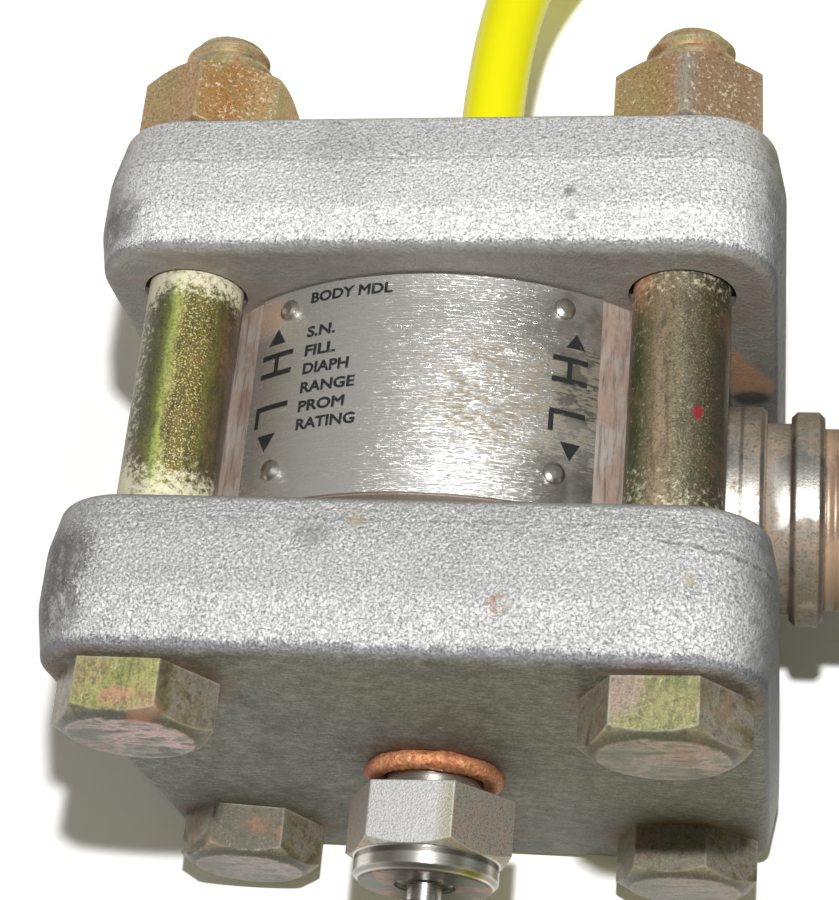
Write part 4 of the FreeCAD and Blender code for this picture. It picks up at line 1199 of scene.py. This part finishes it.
@dataclass(frozen=True)
class Enamel:
    """Baked enamel on the housing: orange peel, faint mottling, settled dust and bare worn edges."""

    name: str = "housing_enamel"
    coat: Colour = (0.36, 0.39, 0.405)
    shade: Colour = (0.27, 0.295, 0.31)
    dust: Colour = (0.5, 0.47, 0.41)
    bare: Colour = (0.62, 0.62, 0.6)

    def build(self) -> bpy.types.Material:
        """Make the material.

        Returns:
            The material.
        """
        graph = Graph(self.name)
        place = graph.place()
        _, _, z = graph.axes(place)
        peel = graph.noise(place, 1300.0, 2.0)
        broad = graph.noise(place, 45.0, 4.0, 0.62)
        fine = graph.noise(place, 2600.0, 4.0, 0.7)
        dusty = z.between(40.0 * MM, 95.0 * MM) * broad.between(0.4, 0.62) * fine.between(0.3, 0.6)
        chips = graph.noise(place, 330.0, 5.0, 0.7).between(0.7, 0.73)
        bare = (graph.worn(0.7 * MM) * fine.between(0.4, 0.55)).larger(chips)
        colour = graph.layers(
            self.coat,
            (broad.between(0.36, 0.64) * 0.6, self.shade),
            (dusty * 0.35, self.dust),
            (bare * 0.75, self.bare),
        )
        normal = graph.bump(peel * 0.5 - chips * 0.5, 0.05 * MM, graph.soft_edges(0.4 * MM))
        return graph.surface(colour, 0.36 + dusty * 0.25 + fine * 0.06, bare * 0.6, normal)


@dataclass(frozen=True)
class Plain:
    """A quiet finish with a little grain, for what is small or hidden."""

    name: str
    colour: Colour
    rough: float = 0.5
    metal: float = 0.0

    def build(self) -> bpy.types.Material:
        """Make the material.

        Returns:
            The material.
        """
        graph = Graph(self.name)
        grain = graph.noise(graph.place(), 900.0, 3.0)
        shade = tuple(part * 0.75 for part in self.colour)
        colour = graph.mix(grain.between(0.35, 0.7) * 0.4, self.colour, shade)
        normal = graph.bump(grain, 0.02 * MM, graph.soft_edges(0.2 * MM))
        return graph.surface(colour, self.rough - 0.06 + grain * 0.12, self.metal, normal)


# Modelling helpers


def clear_selection() -> None:
    """Select nothing, so that an operator acts on the new piece alone."""
    bpy.ops.object.select_all(action="DESELECT")


def apply_place(piece: bpy.types.Object) -> None:
    """Move a piece's place, turn and scale into its mesh.

    Args:
        piece: The piece.
    """
    clear_selection()
    piece.select_set(True)
    bpy.context.view_layer.objects.active = piece
    bpy.ops.object.transform_apply(location=True, rotation=True, scale=True)


def close_mesh(piece: bpy.types.Object) -> None:
    """Merge doubles, fill open ends and turn the faces outwards.

    Args:
        piece: The piece.
    """
    bpy.context.view_layer.objects.active = piece
    bpy.ops.object.mode_set(mode="EDIT")
    bpy.ops.mesh.select_all(action="SELECT")
    bpy.ops.mesh.remove_doubles(threshold=1e-7)
    bpy.ops.mesh.select_all(action="SELECT")
    bpy.ops.mesh.fill_holes(sides=8)
    bpy.ops.mesh.select_all(action="SELECT")
    bpy.ops.mesh.normals_make_consistent(inside=False)
    bpy.ops.object.mode_set(mode="OBJECT")


def paint(nodes: Nodes, names: Iterable[str], material: bpy.types.Material) -> None:
    """Give CAD nodes one finish.

    Args:
        nodes: The CAD nodes by name.
        names: Which of them.
        material: The finish.
    """
    for name in names:
        mesh = nodes[name].data
        mesh.materials.clear()
        mesh.materials.append(material)
        LOG.info("%s is finished in %s", name, material.name)


def hand_over(piece: bpy.types.Object, material: bpy.types.Material) -> None:
    """Finish a new piece and let it ride on the meter body.

    Args:
        piece: The piece.
        material: Its finish.
    """
    piece.data.materials.clear()
    piece.data.materials.append(material)
    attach(piece, "meter")
    LOG.info("%s is made", piece.name)


def eased(share: float) -> float:
    """A smooth step from 0 to 1."""
    return share * share * (3.0 - 2.0 * share)


# Sub-assemblies


@dataclass(frozen=True)
class Heads:
    """The two cast heads with their four bolts, nuts and the thread ridges at the bolts' ends."""

    thread_root: float = 4.6 * MM
    thread_crest: float = 5.45 * MM
    thread_pitch: float = 1.81 * MM
    thread_turns: int = 3
    thread_steps: int = 40
    crest_flat: float = 0.3 * MM
    thread_start: float = 42.7 * MM
    flank_share: float = 0.46
    runout: float = 0.45
    sink: float = 0.18
    first_turn: float = 75.0
    turn_step: float = 10.0

    def build(self) -> None:
        """Model one coil of thread and copy it to the four bolts."""
        zinc = ThreadZinc().build()
        first = self._coil()
        corners = [(right, top) for right in (-1, 1) for top in (-1, 1)]
        for index, (right, top) in enumerate(corners):
            coil = first.copy()
            coil.data = first.data.copy()
            coil.name = f"bolt_thread_{index + 1}"
            bpy.context.scene.collection.objects.link(coil)
            spot = Matrix.Translation((right * BOLT_REACH, self.thread_start, AXIS_Z + top * BOLT_REACH))
            lying = Matrix.Rotation(math.radians(-90.0), 4, "X")
            start = Matrix.Rotation(math.radians(self.first_turn + self.turn_step * index), 4, "Z")
            coil.matrix_world = spot @ lying @ start
            apply_place(coil)
            hand_over(coil, zinc)
        bpy.data.objects.remove(first)

    def _coil(self) -> bpy.types.Object:
        """One coil of thread along Z: a flat-topped ridge wound by a Screw modifier.

        Returns:
            The coil.
        """
        clear_selection()
        bpy.ops.mesh.primitive_circle_add(vertices=4, radius=self.thread_crest)
        coil = bpy.context.object
        half = self.thread_pitch * self.flank_share
        profile = ((self.thread_root, -half), (self.thread_crest, -self.crest_flat / 2),
                   (self.thread_crest, self.crest_flat / 2), (self.thread_root, half))
        for corner, (radius, height) in zip(coil.data.vertices, profile):
            corner.co = (radius, 0.0, height)
        winding = coil.modifiers.new("winding", "SCREW")
        winding.axis = "Z"
        winding.iterations = self.thread_turns
        winding.screw_offset = self.thread_pitch
        winding.steps = self.thread_steps
        winding.render_steps = self.thread_steps
        bpy.ops.object.modifier_apply(modifier=winding.name)
        close_mesh(coil)
        self._run_out(coil)
        bpy.ops.object.shade_smooth_by_angle(angle=math.radians(28.0))
        return coil

    def _run_out(self, coil: bpy.types.Object) -> None:
        """Sink the coil's last stretch into the bolt, so that the thread fades out.

        Args:
            coil: The coil along Z.
        """
        for vertex in coil.data.vertices:
            part = (math.atan2(vertex.co.y, vertex.co.x) / math.tau) % 1.0
            wound = part + round(vertex.co.z / self.thread_pitch - part)
            fade = min(1.0, max(0.0, (wound - self.thread_turns + self.runout) / self.runout))
            shrink = 1.0 - self.sink * eased(fade)
            vertex.co.x *= shrink
            vertex.co.y *= shrink

    def dress(self, nodes: Nodes) -> None:
        """Finish the cast heads, bolts and nuts.

        Args:
            nodes: The CAD nodes by name.
        """
        paint(nodes, ("high_side_head", "low_side_head"), CastMetal().build())
        paint(nodes, ("head_bolts",), BoltZinc().build())
        paint(nodes, ("head_nuts",), NutZinc().build())


@dataclass(frozen=True)
class Label:
    """One printed field name: its words, and its baseline's y and its width in millimetres."""

    words: str
    baseline: float
    width: float


@dataclass(frozen=True)
class MeterBody:
    """Drum and neck, with the nameplate, its rivets, its print and what is inside."""

    plate_radius: float = 34.1 * MM
    ink_lift: float = 0.035 * MM
    letter_height: float = 1.42 * MM
    letter_weight: float = 0.034
    slice_width: float = 0.8 * MM
    label_turn: float = -23.9
    labels: tuple[Label, ...] = (
        Label("BODY MDL", 12.45, 10.4), Label("S.N.", 8.0, 3.8), Label("FILL", 5.55, 4.1),
        Label("DIAPH", 3.25, 6.0), Label("RANGE", 0.85, 7.0), Label("PROM", -1.5, 6.0),
        Label("RATING", -3.77, 7.5),
    )
    # Strokes of the port letters: first and last turn in degrees, lowest and highest y in millimetres
    bars: tuple[tuple[float, float, float, float], ...] = (
        (-34.8, -26.9, 6.3, 6.95), (-34.8, -26.9, 3.9, 4.55), (-31.4, -30.4, 4.3, 6.5),
        (-34.7, -26.7, -0.35, 0.3), (-34.8, -33.8, -2.4, 0.1),
        (25.3, 32.5, 5.65, 6.3), (25.3, 32.5, 3.0, 3.65), (28.3, 29.3, 3.4, 5.9),
        (25.3, 32.5, -1.0, -0.35), (25.2, 26.2, -3.1, -0.6),
    )
    # Arrows: turn in degrees, the apex's and the base's y in millimetres, half the width in degrees
    arrows: tuple[tuple[float, float, float, float], ...] = (
        (-31.4, 10.1, 8.1, 2.2), (-31.2, -5.7, -3.5, 2.3), (29.8, 9.4, 7.5, 2.0), (29.8, -6.4, -4.2, 2.05),
    )

    def build(self) -> None:
        """Print the plate's field names and its port marks."""
        pieces = [self._words(label) for label in self.labels]
        pieces += [self._bar(*bar) for bar in self.bars]
        pieces += [self._arrow(*arrow) for arrow in self.arrows]
        clear_selection()
        for piece in pieces:
            piece.select_set(True)
        bpy.context.view_layer.objects.active = pieces[0]
        bpy.ops.object.join()
        ink = bpy.context.object
        ink.name = "plate_print"
        self._slice(ink)
        self._wrap(ink)
        hand_over(ink, PlateInk().build())

    def _arc(self, turn: float) -> float:
        """Length round the plate for a turn in degrees from straight up."""
        return math.radians(turn) * self.plate_radius

    def _words(self, label: Label) -> bpy.types.Object:
        """Set one field name as a thin flat mesh.

        Args:
            label: What it says and where.

        Returns:
            The words.
        """
        clear_selection()
        bpy.ops.object.text_add()
        words = bpy.context.object
        words.data.body = label.words
        words.data.bevel_depth = self.letter_weight
        words.data.bevel_resolution = 0
        words.data.resolution_u = 3
        words.data.extrude = 0.5
        bpy.ops.object.convert(target="MESH")
        words = bpy.context.object
        wide, high, thick = words.dimensions
        corner = min(vertex.co.x for vertex in words.data.vertices)
        words.scale = (label.width * MM / wide, self.letter_height / high, self.ink_lift / thick)
        start = self._arc(self.label_turn) - corner * words.scale.x
        words.location = (start, label.baseline * MM, self.ink_lift / 2)
        apply_place(words)
        return words

    def _bar(self, start: float, stop: float, low: float, high: float) -> bpy.types.Object:
        """One straight stroke of a port mark, from turn to turn and from y to y.

        Args:
            start: First turn, in degrees.
            stop: Last turn, in degrees.
            low: Lowest y, in millimetres.
            high: Highest y, in millimetres.

        Returns:
            The stroke.
        """
        clear_selection()
        bpy.ops.mesh.primitive_cube_add(size=1.0)
        bar = bpy.context.object
        bar.scale = (self._arc(stop) - self._arc(start), (high - low) * MM, self.ink_lift)
        bar.location = (self._arc((start + stop) / 2), (low + high) / 2 * MM, self.ink_lift / 2)
        apply_place(bar)
        return bar

    def _arrow(self, turn: float, apex: float, base: float, half: float) -> bpy.types.Object:
        """One filled triangle that points along Y.

        Args:
            turn: Its middle, in degrees.
            apex: The apex's y, in millimetres.
            base: The base's y, in millimetres.
            half: Half its width, in degrees.

        Returns:
            The triangle.
        """
        clear_selection()
        bpy.ops.mesh.primitive_cylinder_add(vertices=3, radius=1.0, depth=1.0)
        arrow = bpy.context.object
        low = min(vertex.co.y for vertex in arrow.data.vertices)
        high = max(vertex.co.y for vertex in arrow.data.vertices)
        wide = max(vertex.co.x for vertex in arrow.data.vertices)
        for vertex in arrow.data.vertices:
            share = (vertex.co.y - low) / (high - low)
            vertex.co.x *= self._arc(half) / wide
            vertex.co.y = (base + (apex - base) * share) * MM
            vertex.co.z = (vertex.co.z + 0.5) * self.ink_lift
        arrow.location.x = self._arc(turn)
        apply_place(arrow)
        return arrow

    def _slice(self, ink: bpy.types.Object) -> None:
        """Cut the flat print into narrow strips, so that it can follow the plate.

        Args:
            ink: The print.
        """
        low = min(vertex.co.x for vertex in ink.data.vertices)
        high = max(vertex.co.x for vertex in ink.data.vertices)
        bpy.ops.object.mode_set(mode="EDIT")
        for index in range(1, math.ceil((high - low) / self.slice_width)):
            bpy.ops.mesh.select_all(action="SELECT")
            cut = (low + index * self.slice_width, 0.0, 0.0)
            bpy.ops.mesh.bisect(plane_co=cut, plane_no=(1.0, 0.0, 0.0))
        bpy.ops.mesh.select_all(action="SELECT")
        bpy.ops.mesh.normals_make_consistent(inside=False)
        bpy.ops.object.mode_set(mode="OBJECT")

    def _wrap(self, ink: bpy.types.Object) -> None:
        """Lay the flat print round the plate.

        Args:
            ink: The print.
        """
        for vertex in ink.data.vertices:
            turn = vertex.co.x / self.plate_radius
            reach = self.plate_radius + vertex.co.z
            vertex.co = (reach * math.sin(turn), vertex.co.y, AXIS_Z + reach * math.cos(turn))

    def dress(self, nodes: Nodes) -> None:
        """Finish the drum, plate, rivets and the parts inside.

        Args:
            nodes: The CAD nodes by name.
        """
        bright = TurnedSteel("bright_steel").build()
        paint(nodes, ("meter_body",), MeterSteel().build())
        paint(nodes, ("nameplate",), BrushedPlate().build())
        paint(nodes, ("nameplate_rivets",), Plain("rivet_steel", (0.62, 0.6, 0.56), 0.3, 1.0).build())
        paint(nodes, ("high_side_diaphragm", "low_side_diaphragm", "sensor_header"), bright)
        paint(nodes, ("high_side_gasket", "low_side_gasket"),
              Plain("gasket_white", (0.82, 0.81, 0.77), 0.5).build())


@dataclass(frozen=True)
class Connection:
    """The capillary's connection on one head: copper bead, fitting, tube and sleeve."""

    side: Side
    bead_middle: float = 7.05 * MM
    bead_half: float = 1.3 * MM
    bead_y: float = 34.1 * MM
    bead_squash: float = 0.88
    bead_segments: tuple[int, int] = (288, 36)
    ruffle_level: float = 0.62
    # The bead's ruffles: name, size and depth
    ruffles: tuple[tuple[str, float, float], ...] = (
        ("folds", 2.6 * MM, 0.4 * MM), ("fibres", 0.45 * MM, 0.28 * MM),
    )

    def build(self, copper: bpy.types.Material) -> None:
        """Model the crushed copper washer as a ragged bead.

        Args:
            copper: Its finish.
        """
        clear_selection()
        rounds, sides = self.bead_segments
        bpy.ops.mesh.primitive_torus_add(major_segments=rounds, minor_segments=sides,
                                         major_radius=self.bead_middle, minor_radius=self.bead_half)
        bead = bpy.context.object
        bead.name = f"{self.side.label}_copper_bead"
        bpy.ops.object.mode_set(mode="EDIT")
        bpy.ops.mesh.select_all(action="SELECT")
        bpy.ops.transform.resize(value=(1.0, 1.0, self.bead_squash), center_override=(0.0, 0.0, 0.0))
        bpy.ops.object.mode_set(mode="OBJECT")
        for name, size, depth in self.ruffles:
            pattern = bpy.data.textures.new(f"{bead.name}_{name}", "CLOUDS")
            pattern.noise_scale = size
            ruffle = bead.modifiers.new(name, "DISPLACE")
            ruffle.texture = pattern
            ruffle.strength = depth
            ruffle.mid_level = self.ruffle_level
            bpy.ops.object.modifier_apply(modifier=ruffle.name)
        bead.rotation_euler.x = math.radians(90.0)
        bead.location = (0.0, self.side.value * self.bead_y, AXIS_Z)
        apply_place(bead)
        bpy.ops.object.shade_smooth()
        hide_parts(f"{self.side.label}_copper_washer")
        hand_over(bead, copper)

    def dress(self, nodes: Nodes, fitting: bpy.types.Material, steel: bpy.types.Material) -> None:
        """Finish the fitting, tube, sleeve and end ferrule.

        Args:
            nodes: The CAD nodes by name.
            fitting: The fitting's finish.
            steel: The turned parts' finish.
        """
        label = self.side.label
        paint(nodes, (f"{label}_capillary_fitting",), fitting)
        paint(nodes, (f"{label}_capillary_tube", f"{label}_sheath_sleeve", f"{label}_end_fitting"), steel)


@dataclass(frozen=True)
class Hank:
    """The wound part of a capillary: a racetrack of tied layers, counted from the top."""

    first_y: float
    left_x: float
    run: float
    fold: float = 26.0 * MM
    layers: int = 4
    pitch: float = 8.6 * MM
    lowest: float = 5.45 * MM
    fold_steps: int = 12

    def points(self) -> list[Point]:
        """Control points of the turns.

        Returns:
            The points, from the first run on the top layer to the cord's end.
        """
        middle_y = self.first_y + self.fold
        right_x = self.left_x + self.run
        found: list[Point] = []
        for layer in range(self.layers):
            height = self.lowest + (self.layers - 1 - layer) * self.pitch
            if layer:
                found.append((self.left_x + self.run * 0.4, self.first_y, height))
            found += self._fold(right_x, middle_y, -math.pi / 2, height, height)
            found.append((self.left_x + self.run * 0.5, self.first_y + 2 * self.fold, height))
            if layer + 1 < self.layers:
                found += self._fold(self.left_x, middle_y, math.pi / 2, height, height - self.pitch)
            else:
                found.append((self.left_x, self.first_y + 2 * self.fold, height))
        return found

    def _fold(self, x: float, y: float, start: float, first: float, last: float) -> list[Point]:
        """Control points round one end of the racetrack.

        Args:
            x: The end's middle along X.
            y: The end's middle along Y.
            start: The angle at which the fold starts.
            first: Height at its start.
            last: Height at its end.

        Returns:
            The points.
        """
        step = math.pi / self.fold_steps
        reach = self.fold / math.cos(step / 2)
        found: list[Point] = []
        for index in range(self.fold_steps):
            turn = start + step * (index + 0.5)
            height = first + (last - first) * eased(index / (self.fold_steps - 1))
            found.append((x + reach * math.cos(turn), y + reach * math.sin(turn), height))
        return found


@dataclass(frozen=True)
class Capillary:
    """One sheathed capillary: its free lead, then its hank, as one spline."""

    side: Side
    route: tuple[Point, ...]
    hank: Hank
    length: float
    diameter: float = 8.5 * MM

    def build(self, sheath: bpy.types.Material) -> None:
        """Args:
            sheath: The sheath's finish.
        """
        label = self.side.label
        curve = bpy.data.curves.new(f"{label}_capillary", "CURVE")
        curve.dimensions = "3D"
        spline = curve.splines.new("NURBS")
        points = [tuple(part * MM for part in point) for point in self.route] + self.hank.points()
        spline.points.add(len(points) - 1)
        for spot, point in zip(spline.points, points):
            spot.co = (*point, 1.0)
        spline.order_u = 3
        spline.use_endpoint_u = True
        spline.resolution_u = 8
        curve.bevel_depth = self.diameter / 2
        curve.bevel_resolution = 5
        curve.use_fill_caps = True
        cord = bpy.data.objects.new(f"{label}_capillary", curve)
        bpy.context.scene.collection.objects.link(cord)
        hand_over(cord, sheath)
        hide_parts(f"{label}_capillary_lead", f"{label}_capillary_hank")

    def dress(self, nodes: Nodes, tie: bpy.types.Material) -> None:
        """Finish the hank's ties."""
        paint(nodes, (f"{self.side.label}_hank_ties",), tie)


HIGH_CAPILLARY = Capillary(
    Side.HIGH,
    ((0.0, 51.2, 40.0), (0.0, 74.2, 40.0), (7.65, 93.1, 39.3), (21.8, 107.2, 37.4),
     (40.3, 115.28, 34.6), (60.3, 115.28, 32.2), (80.0, 115.28, 31.25)),
    Hank(115.28 * MM, -8.0 * MM, 115.0 * MM),
    1.52,
)
LOW_CAPILLARY = Capillary(
    Side.LOW,
    ((0.0, -51.2, 40.0), (0.0, -73.0, 40.0), (0.5, -91.5, 42.8), (1.4, -109.5, 43.0),
     (9.1, -128.0, 41.0), (23.2, -142.1, 37.6), (41.7, -149.8, 34.4), (61.7, -149.8, 32.2),
     (81.0, -149.8, 31.25)),
    Hank(-149.8 * MM, -8.0 * MM, 111.0 * MM),
    1.52,
)


@dataclass(frozen=True)
class Housing:
    """The electronics housing, its covers and what is inside."""

    def dress(self, nodes: Nodes) -> None:
        """Finish the housing and everything in it.

        Args:
            nodes: The CAD nodes by name.
        """
        coat = Enamel().build()
        brass = Plain("contact_brass", (0.72, 0.55, 0.25), 0.3, 1.0).build()
        rubber = Plain("seal_rubber", (0.03, 0.03, 0.03), 0.6).build()
        screw = Plain("plated_steel", (0.62, 0.61, 0.58), 0.3, 1.0).build()
        paint(nodes, ("electronics_housing", "terminal_cover", "electronics_cover"), coat)
        paint(nodes, ("header_pins", "terminal_screws", "board_posts"), brass)
        paint(nodes, ("neck_seal", "terminal_cover_seal", "electronics_cover_seal"), rubber)
        paint(nodes, ("neck_set_screw", "conduit_plug", "earth_screw", "earth_clamp_washer"), screw)
        paint(nodes, ("terminal_block", "electronics_module"),
              Plain("dark_moulding", (0.06, 0.06, 0.065), 0.5).build())
        paint(nodes, ("circuit_board",), Plain("board_green", (0.03, 0.2, 0.08), 0.35).build())


@dataclass(frozen=True)
class Studio:
    """Camera, table, lamp and room."""

    eye: Point = (41.34 * MM, -102.53 * MM, 279.63 * MM)
    right: Point = (0.984453, 0.087967, -0.152035)
    up: Point = (-0.01568, 0.906113, 0.422745)
    back: Point = (0.174948, -0.413788, 0.893405)
    lens: float = 84.49
    floor_size: float = 40.0
    floor_plain: Colour = (0.84, 0.84, 0.82)
    floor_near: float = 1.25
    # Brighter rings of the seen floor: level, and where each starts and is full
    floor_levels: tuple[tuple[float, float, float], ...] = ((1.9, 0.06, 0.14), (6.5, 0.16, 0.5))
    glow_reach: tuple[float, float] = (0.32, 0.6)
    key_spot: Point = (0.042, -0.056, 0.318)
    key_aim: Point = (0.0, 0.0, 0.04)
    key_size: float = 0.008
    key_power: float = 0.82
    room: Colour = (1.0, 0.95, 0.83)
    room_strength: float = 0.2

    def camera(self) -> None:
        """Put the camera where the photograph was taken."""
        data = bpy.data.cameras.new("camera")
        data.lens = self.lens
        data.sensor_width = 36.0
        data.clip_start = 0.01
        camera = bpy.data.objects.new("camera", data)
        bpy.context.scene.collection.objects.link(camera)
        turn = Matrix((self.right, self.up, self.back)).transposed()
        camera.matrix_world = Matrix.Translation(self.eye) @ turn.to_4x4()
        bpy.context.scene.camera = camera

    def table(self) -> None:
        """A white table top that keeps the shadows."""
        clear_selection()
        bpy.ops.mesh.primitive_plane_add(size=self.floor_size)
        floor = bpy.context.object
        floor.name = "table_top"
        graph = Graph("table_white")
        path = graph.add("ShaderNodeLightPath")
        seen = (Value(graph, path.outputs["Is Camera Ray"])
                .larger(Value(graph, path.outputs["Is Glossy Ray"]))
                .larger(Value(graph, path.outputs["Is Transmission Ray"])))
        x, y, _ = graph.axes(graph.place())
        reach = (x * x + y * y) ** 0.5
        plain = self._matt(graph, self.floor_plain)
        bright = self._matt(graph, (self.floor_near,) * 3)
        for level, start, stop in self.floor_levels:
            further = self._matt(graph, (level,) * 3)
            share = reach.between(start, stop)
            bright = graph.node("ShaderNodeMixShader", inputs={0: share, 1: bright, 2: further})
        glow = graph.node("ShaderNodeEmission", inputs={"Color": (1.0, 1.0, 1.0, 1.0), "Strength": 1.0})
        share = reach.between(*self.glow_reach)
        bright = graph.node("ShaderNodeMixShader", inputs={0: share, 1: bright, 2: glow})
        shader = graph.node("ShaderNodeMixShader", inputs={0: seen, 1: plain, 2: bright})
        graph.add("ShaderNodeOutputMaterial", inputs={0: shader})
        floor.data.materials.append(graph.material)

    @staticmethod
    def _matt(graph: Graph, colour: Colour) -> Value:
        """A matt shader of one colour."""
        return graph.node("ShaderNodeBsdfDiffuse", inputs={"Color": (*colour, 1.0)})

    def lamp(self) -> None:
        """A small square lamp near the camera."""
        data = bpy.data.lights.new("key", "AREA")
        data.size = self.key_size
        data.energy = self.key_power
        lamp = bpy.data.objects.new("key", data)
        bpy.context.scene.collection.objects.link(lamp)
        lamp.location = self.key_spot
        aim = Vector(self.key_aim) - Vector(self.key_spot)
        lamp.rotation_euler = aim.to_track_quat("-Z", "Y").to_euler()

    def world(self) -> None:
        """An even room with a little warm light."""
        world = bpy.data.worlds.new("room")
        world.use_nodes = True
        background = world.node_tree.nodes["Background"]
        background.inputs["Color"].default_value = (*self.room, 1.0)
        background.inputs["Strength"].default_value = self.room_strength
        bpy.context.scene.world = world

    def build(self) -> None:
        """Set the whole stage."""
        bpy.context.scene.view_settings.view_transform = "Standard"
        self.camera()
        self.table()
        self.lamp()
        self.world()


def main() -> None:
    """Build the stage, the pieces and their finishes."""
    logging.basicConfig(level=logging.INFO, format="%(name)s: %(message)s")
    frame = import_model()
    nodes = frame["nodes"]
    Studio().build()
    for part in (Heads(), MeterBody()):
        part.build()
        part.dress(nodes)
    Housing().dress(nodes)
    copper = Copper().build()
    fitting = FittingSteel().build()
    steel = TurnedSteel("turned_steel").build()
    sheath = Sheath().build()
    tie = Plain("tie_black", (0.04, 0.04, 0.04), 0.45).build()
    for capillary in (HIGH_CAPILLARY, LOW_CAPILLARY):
        connection = Connection(capillary.side)
        connection.build(copper)
        connection.dress(nodes, fitting, steel)
        capillary.build(sheath)
        capillary.dress(nodes, tie)


if __name__ == "__main__":
    main()
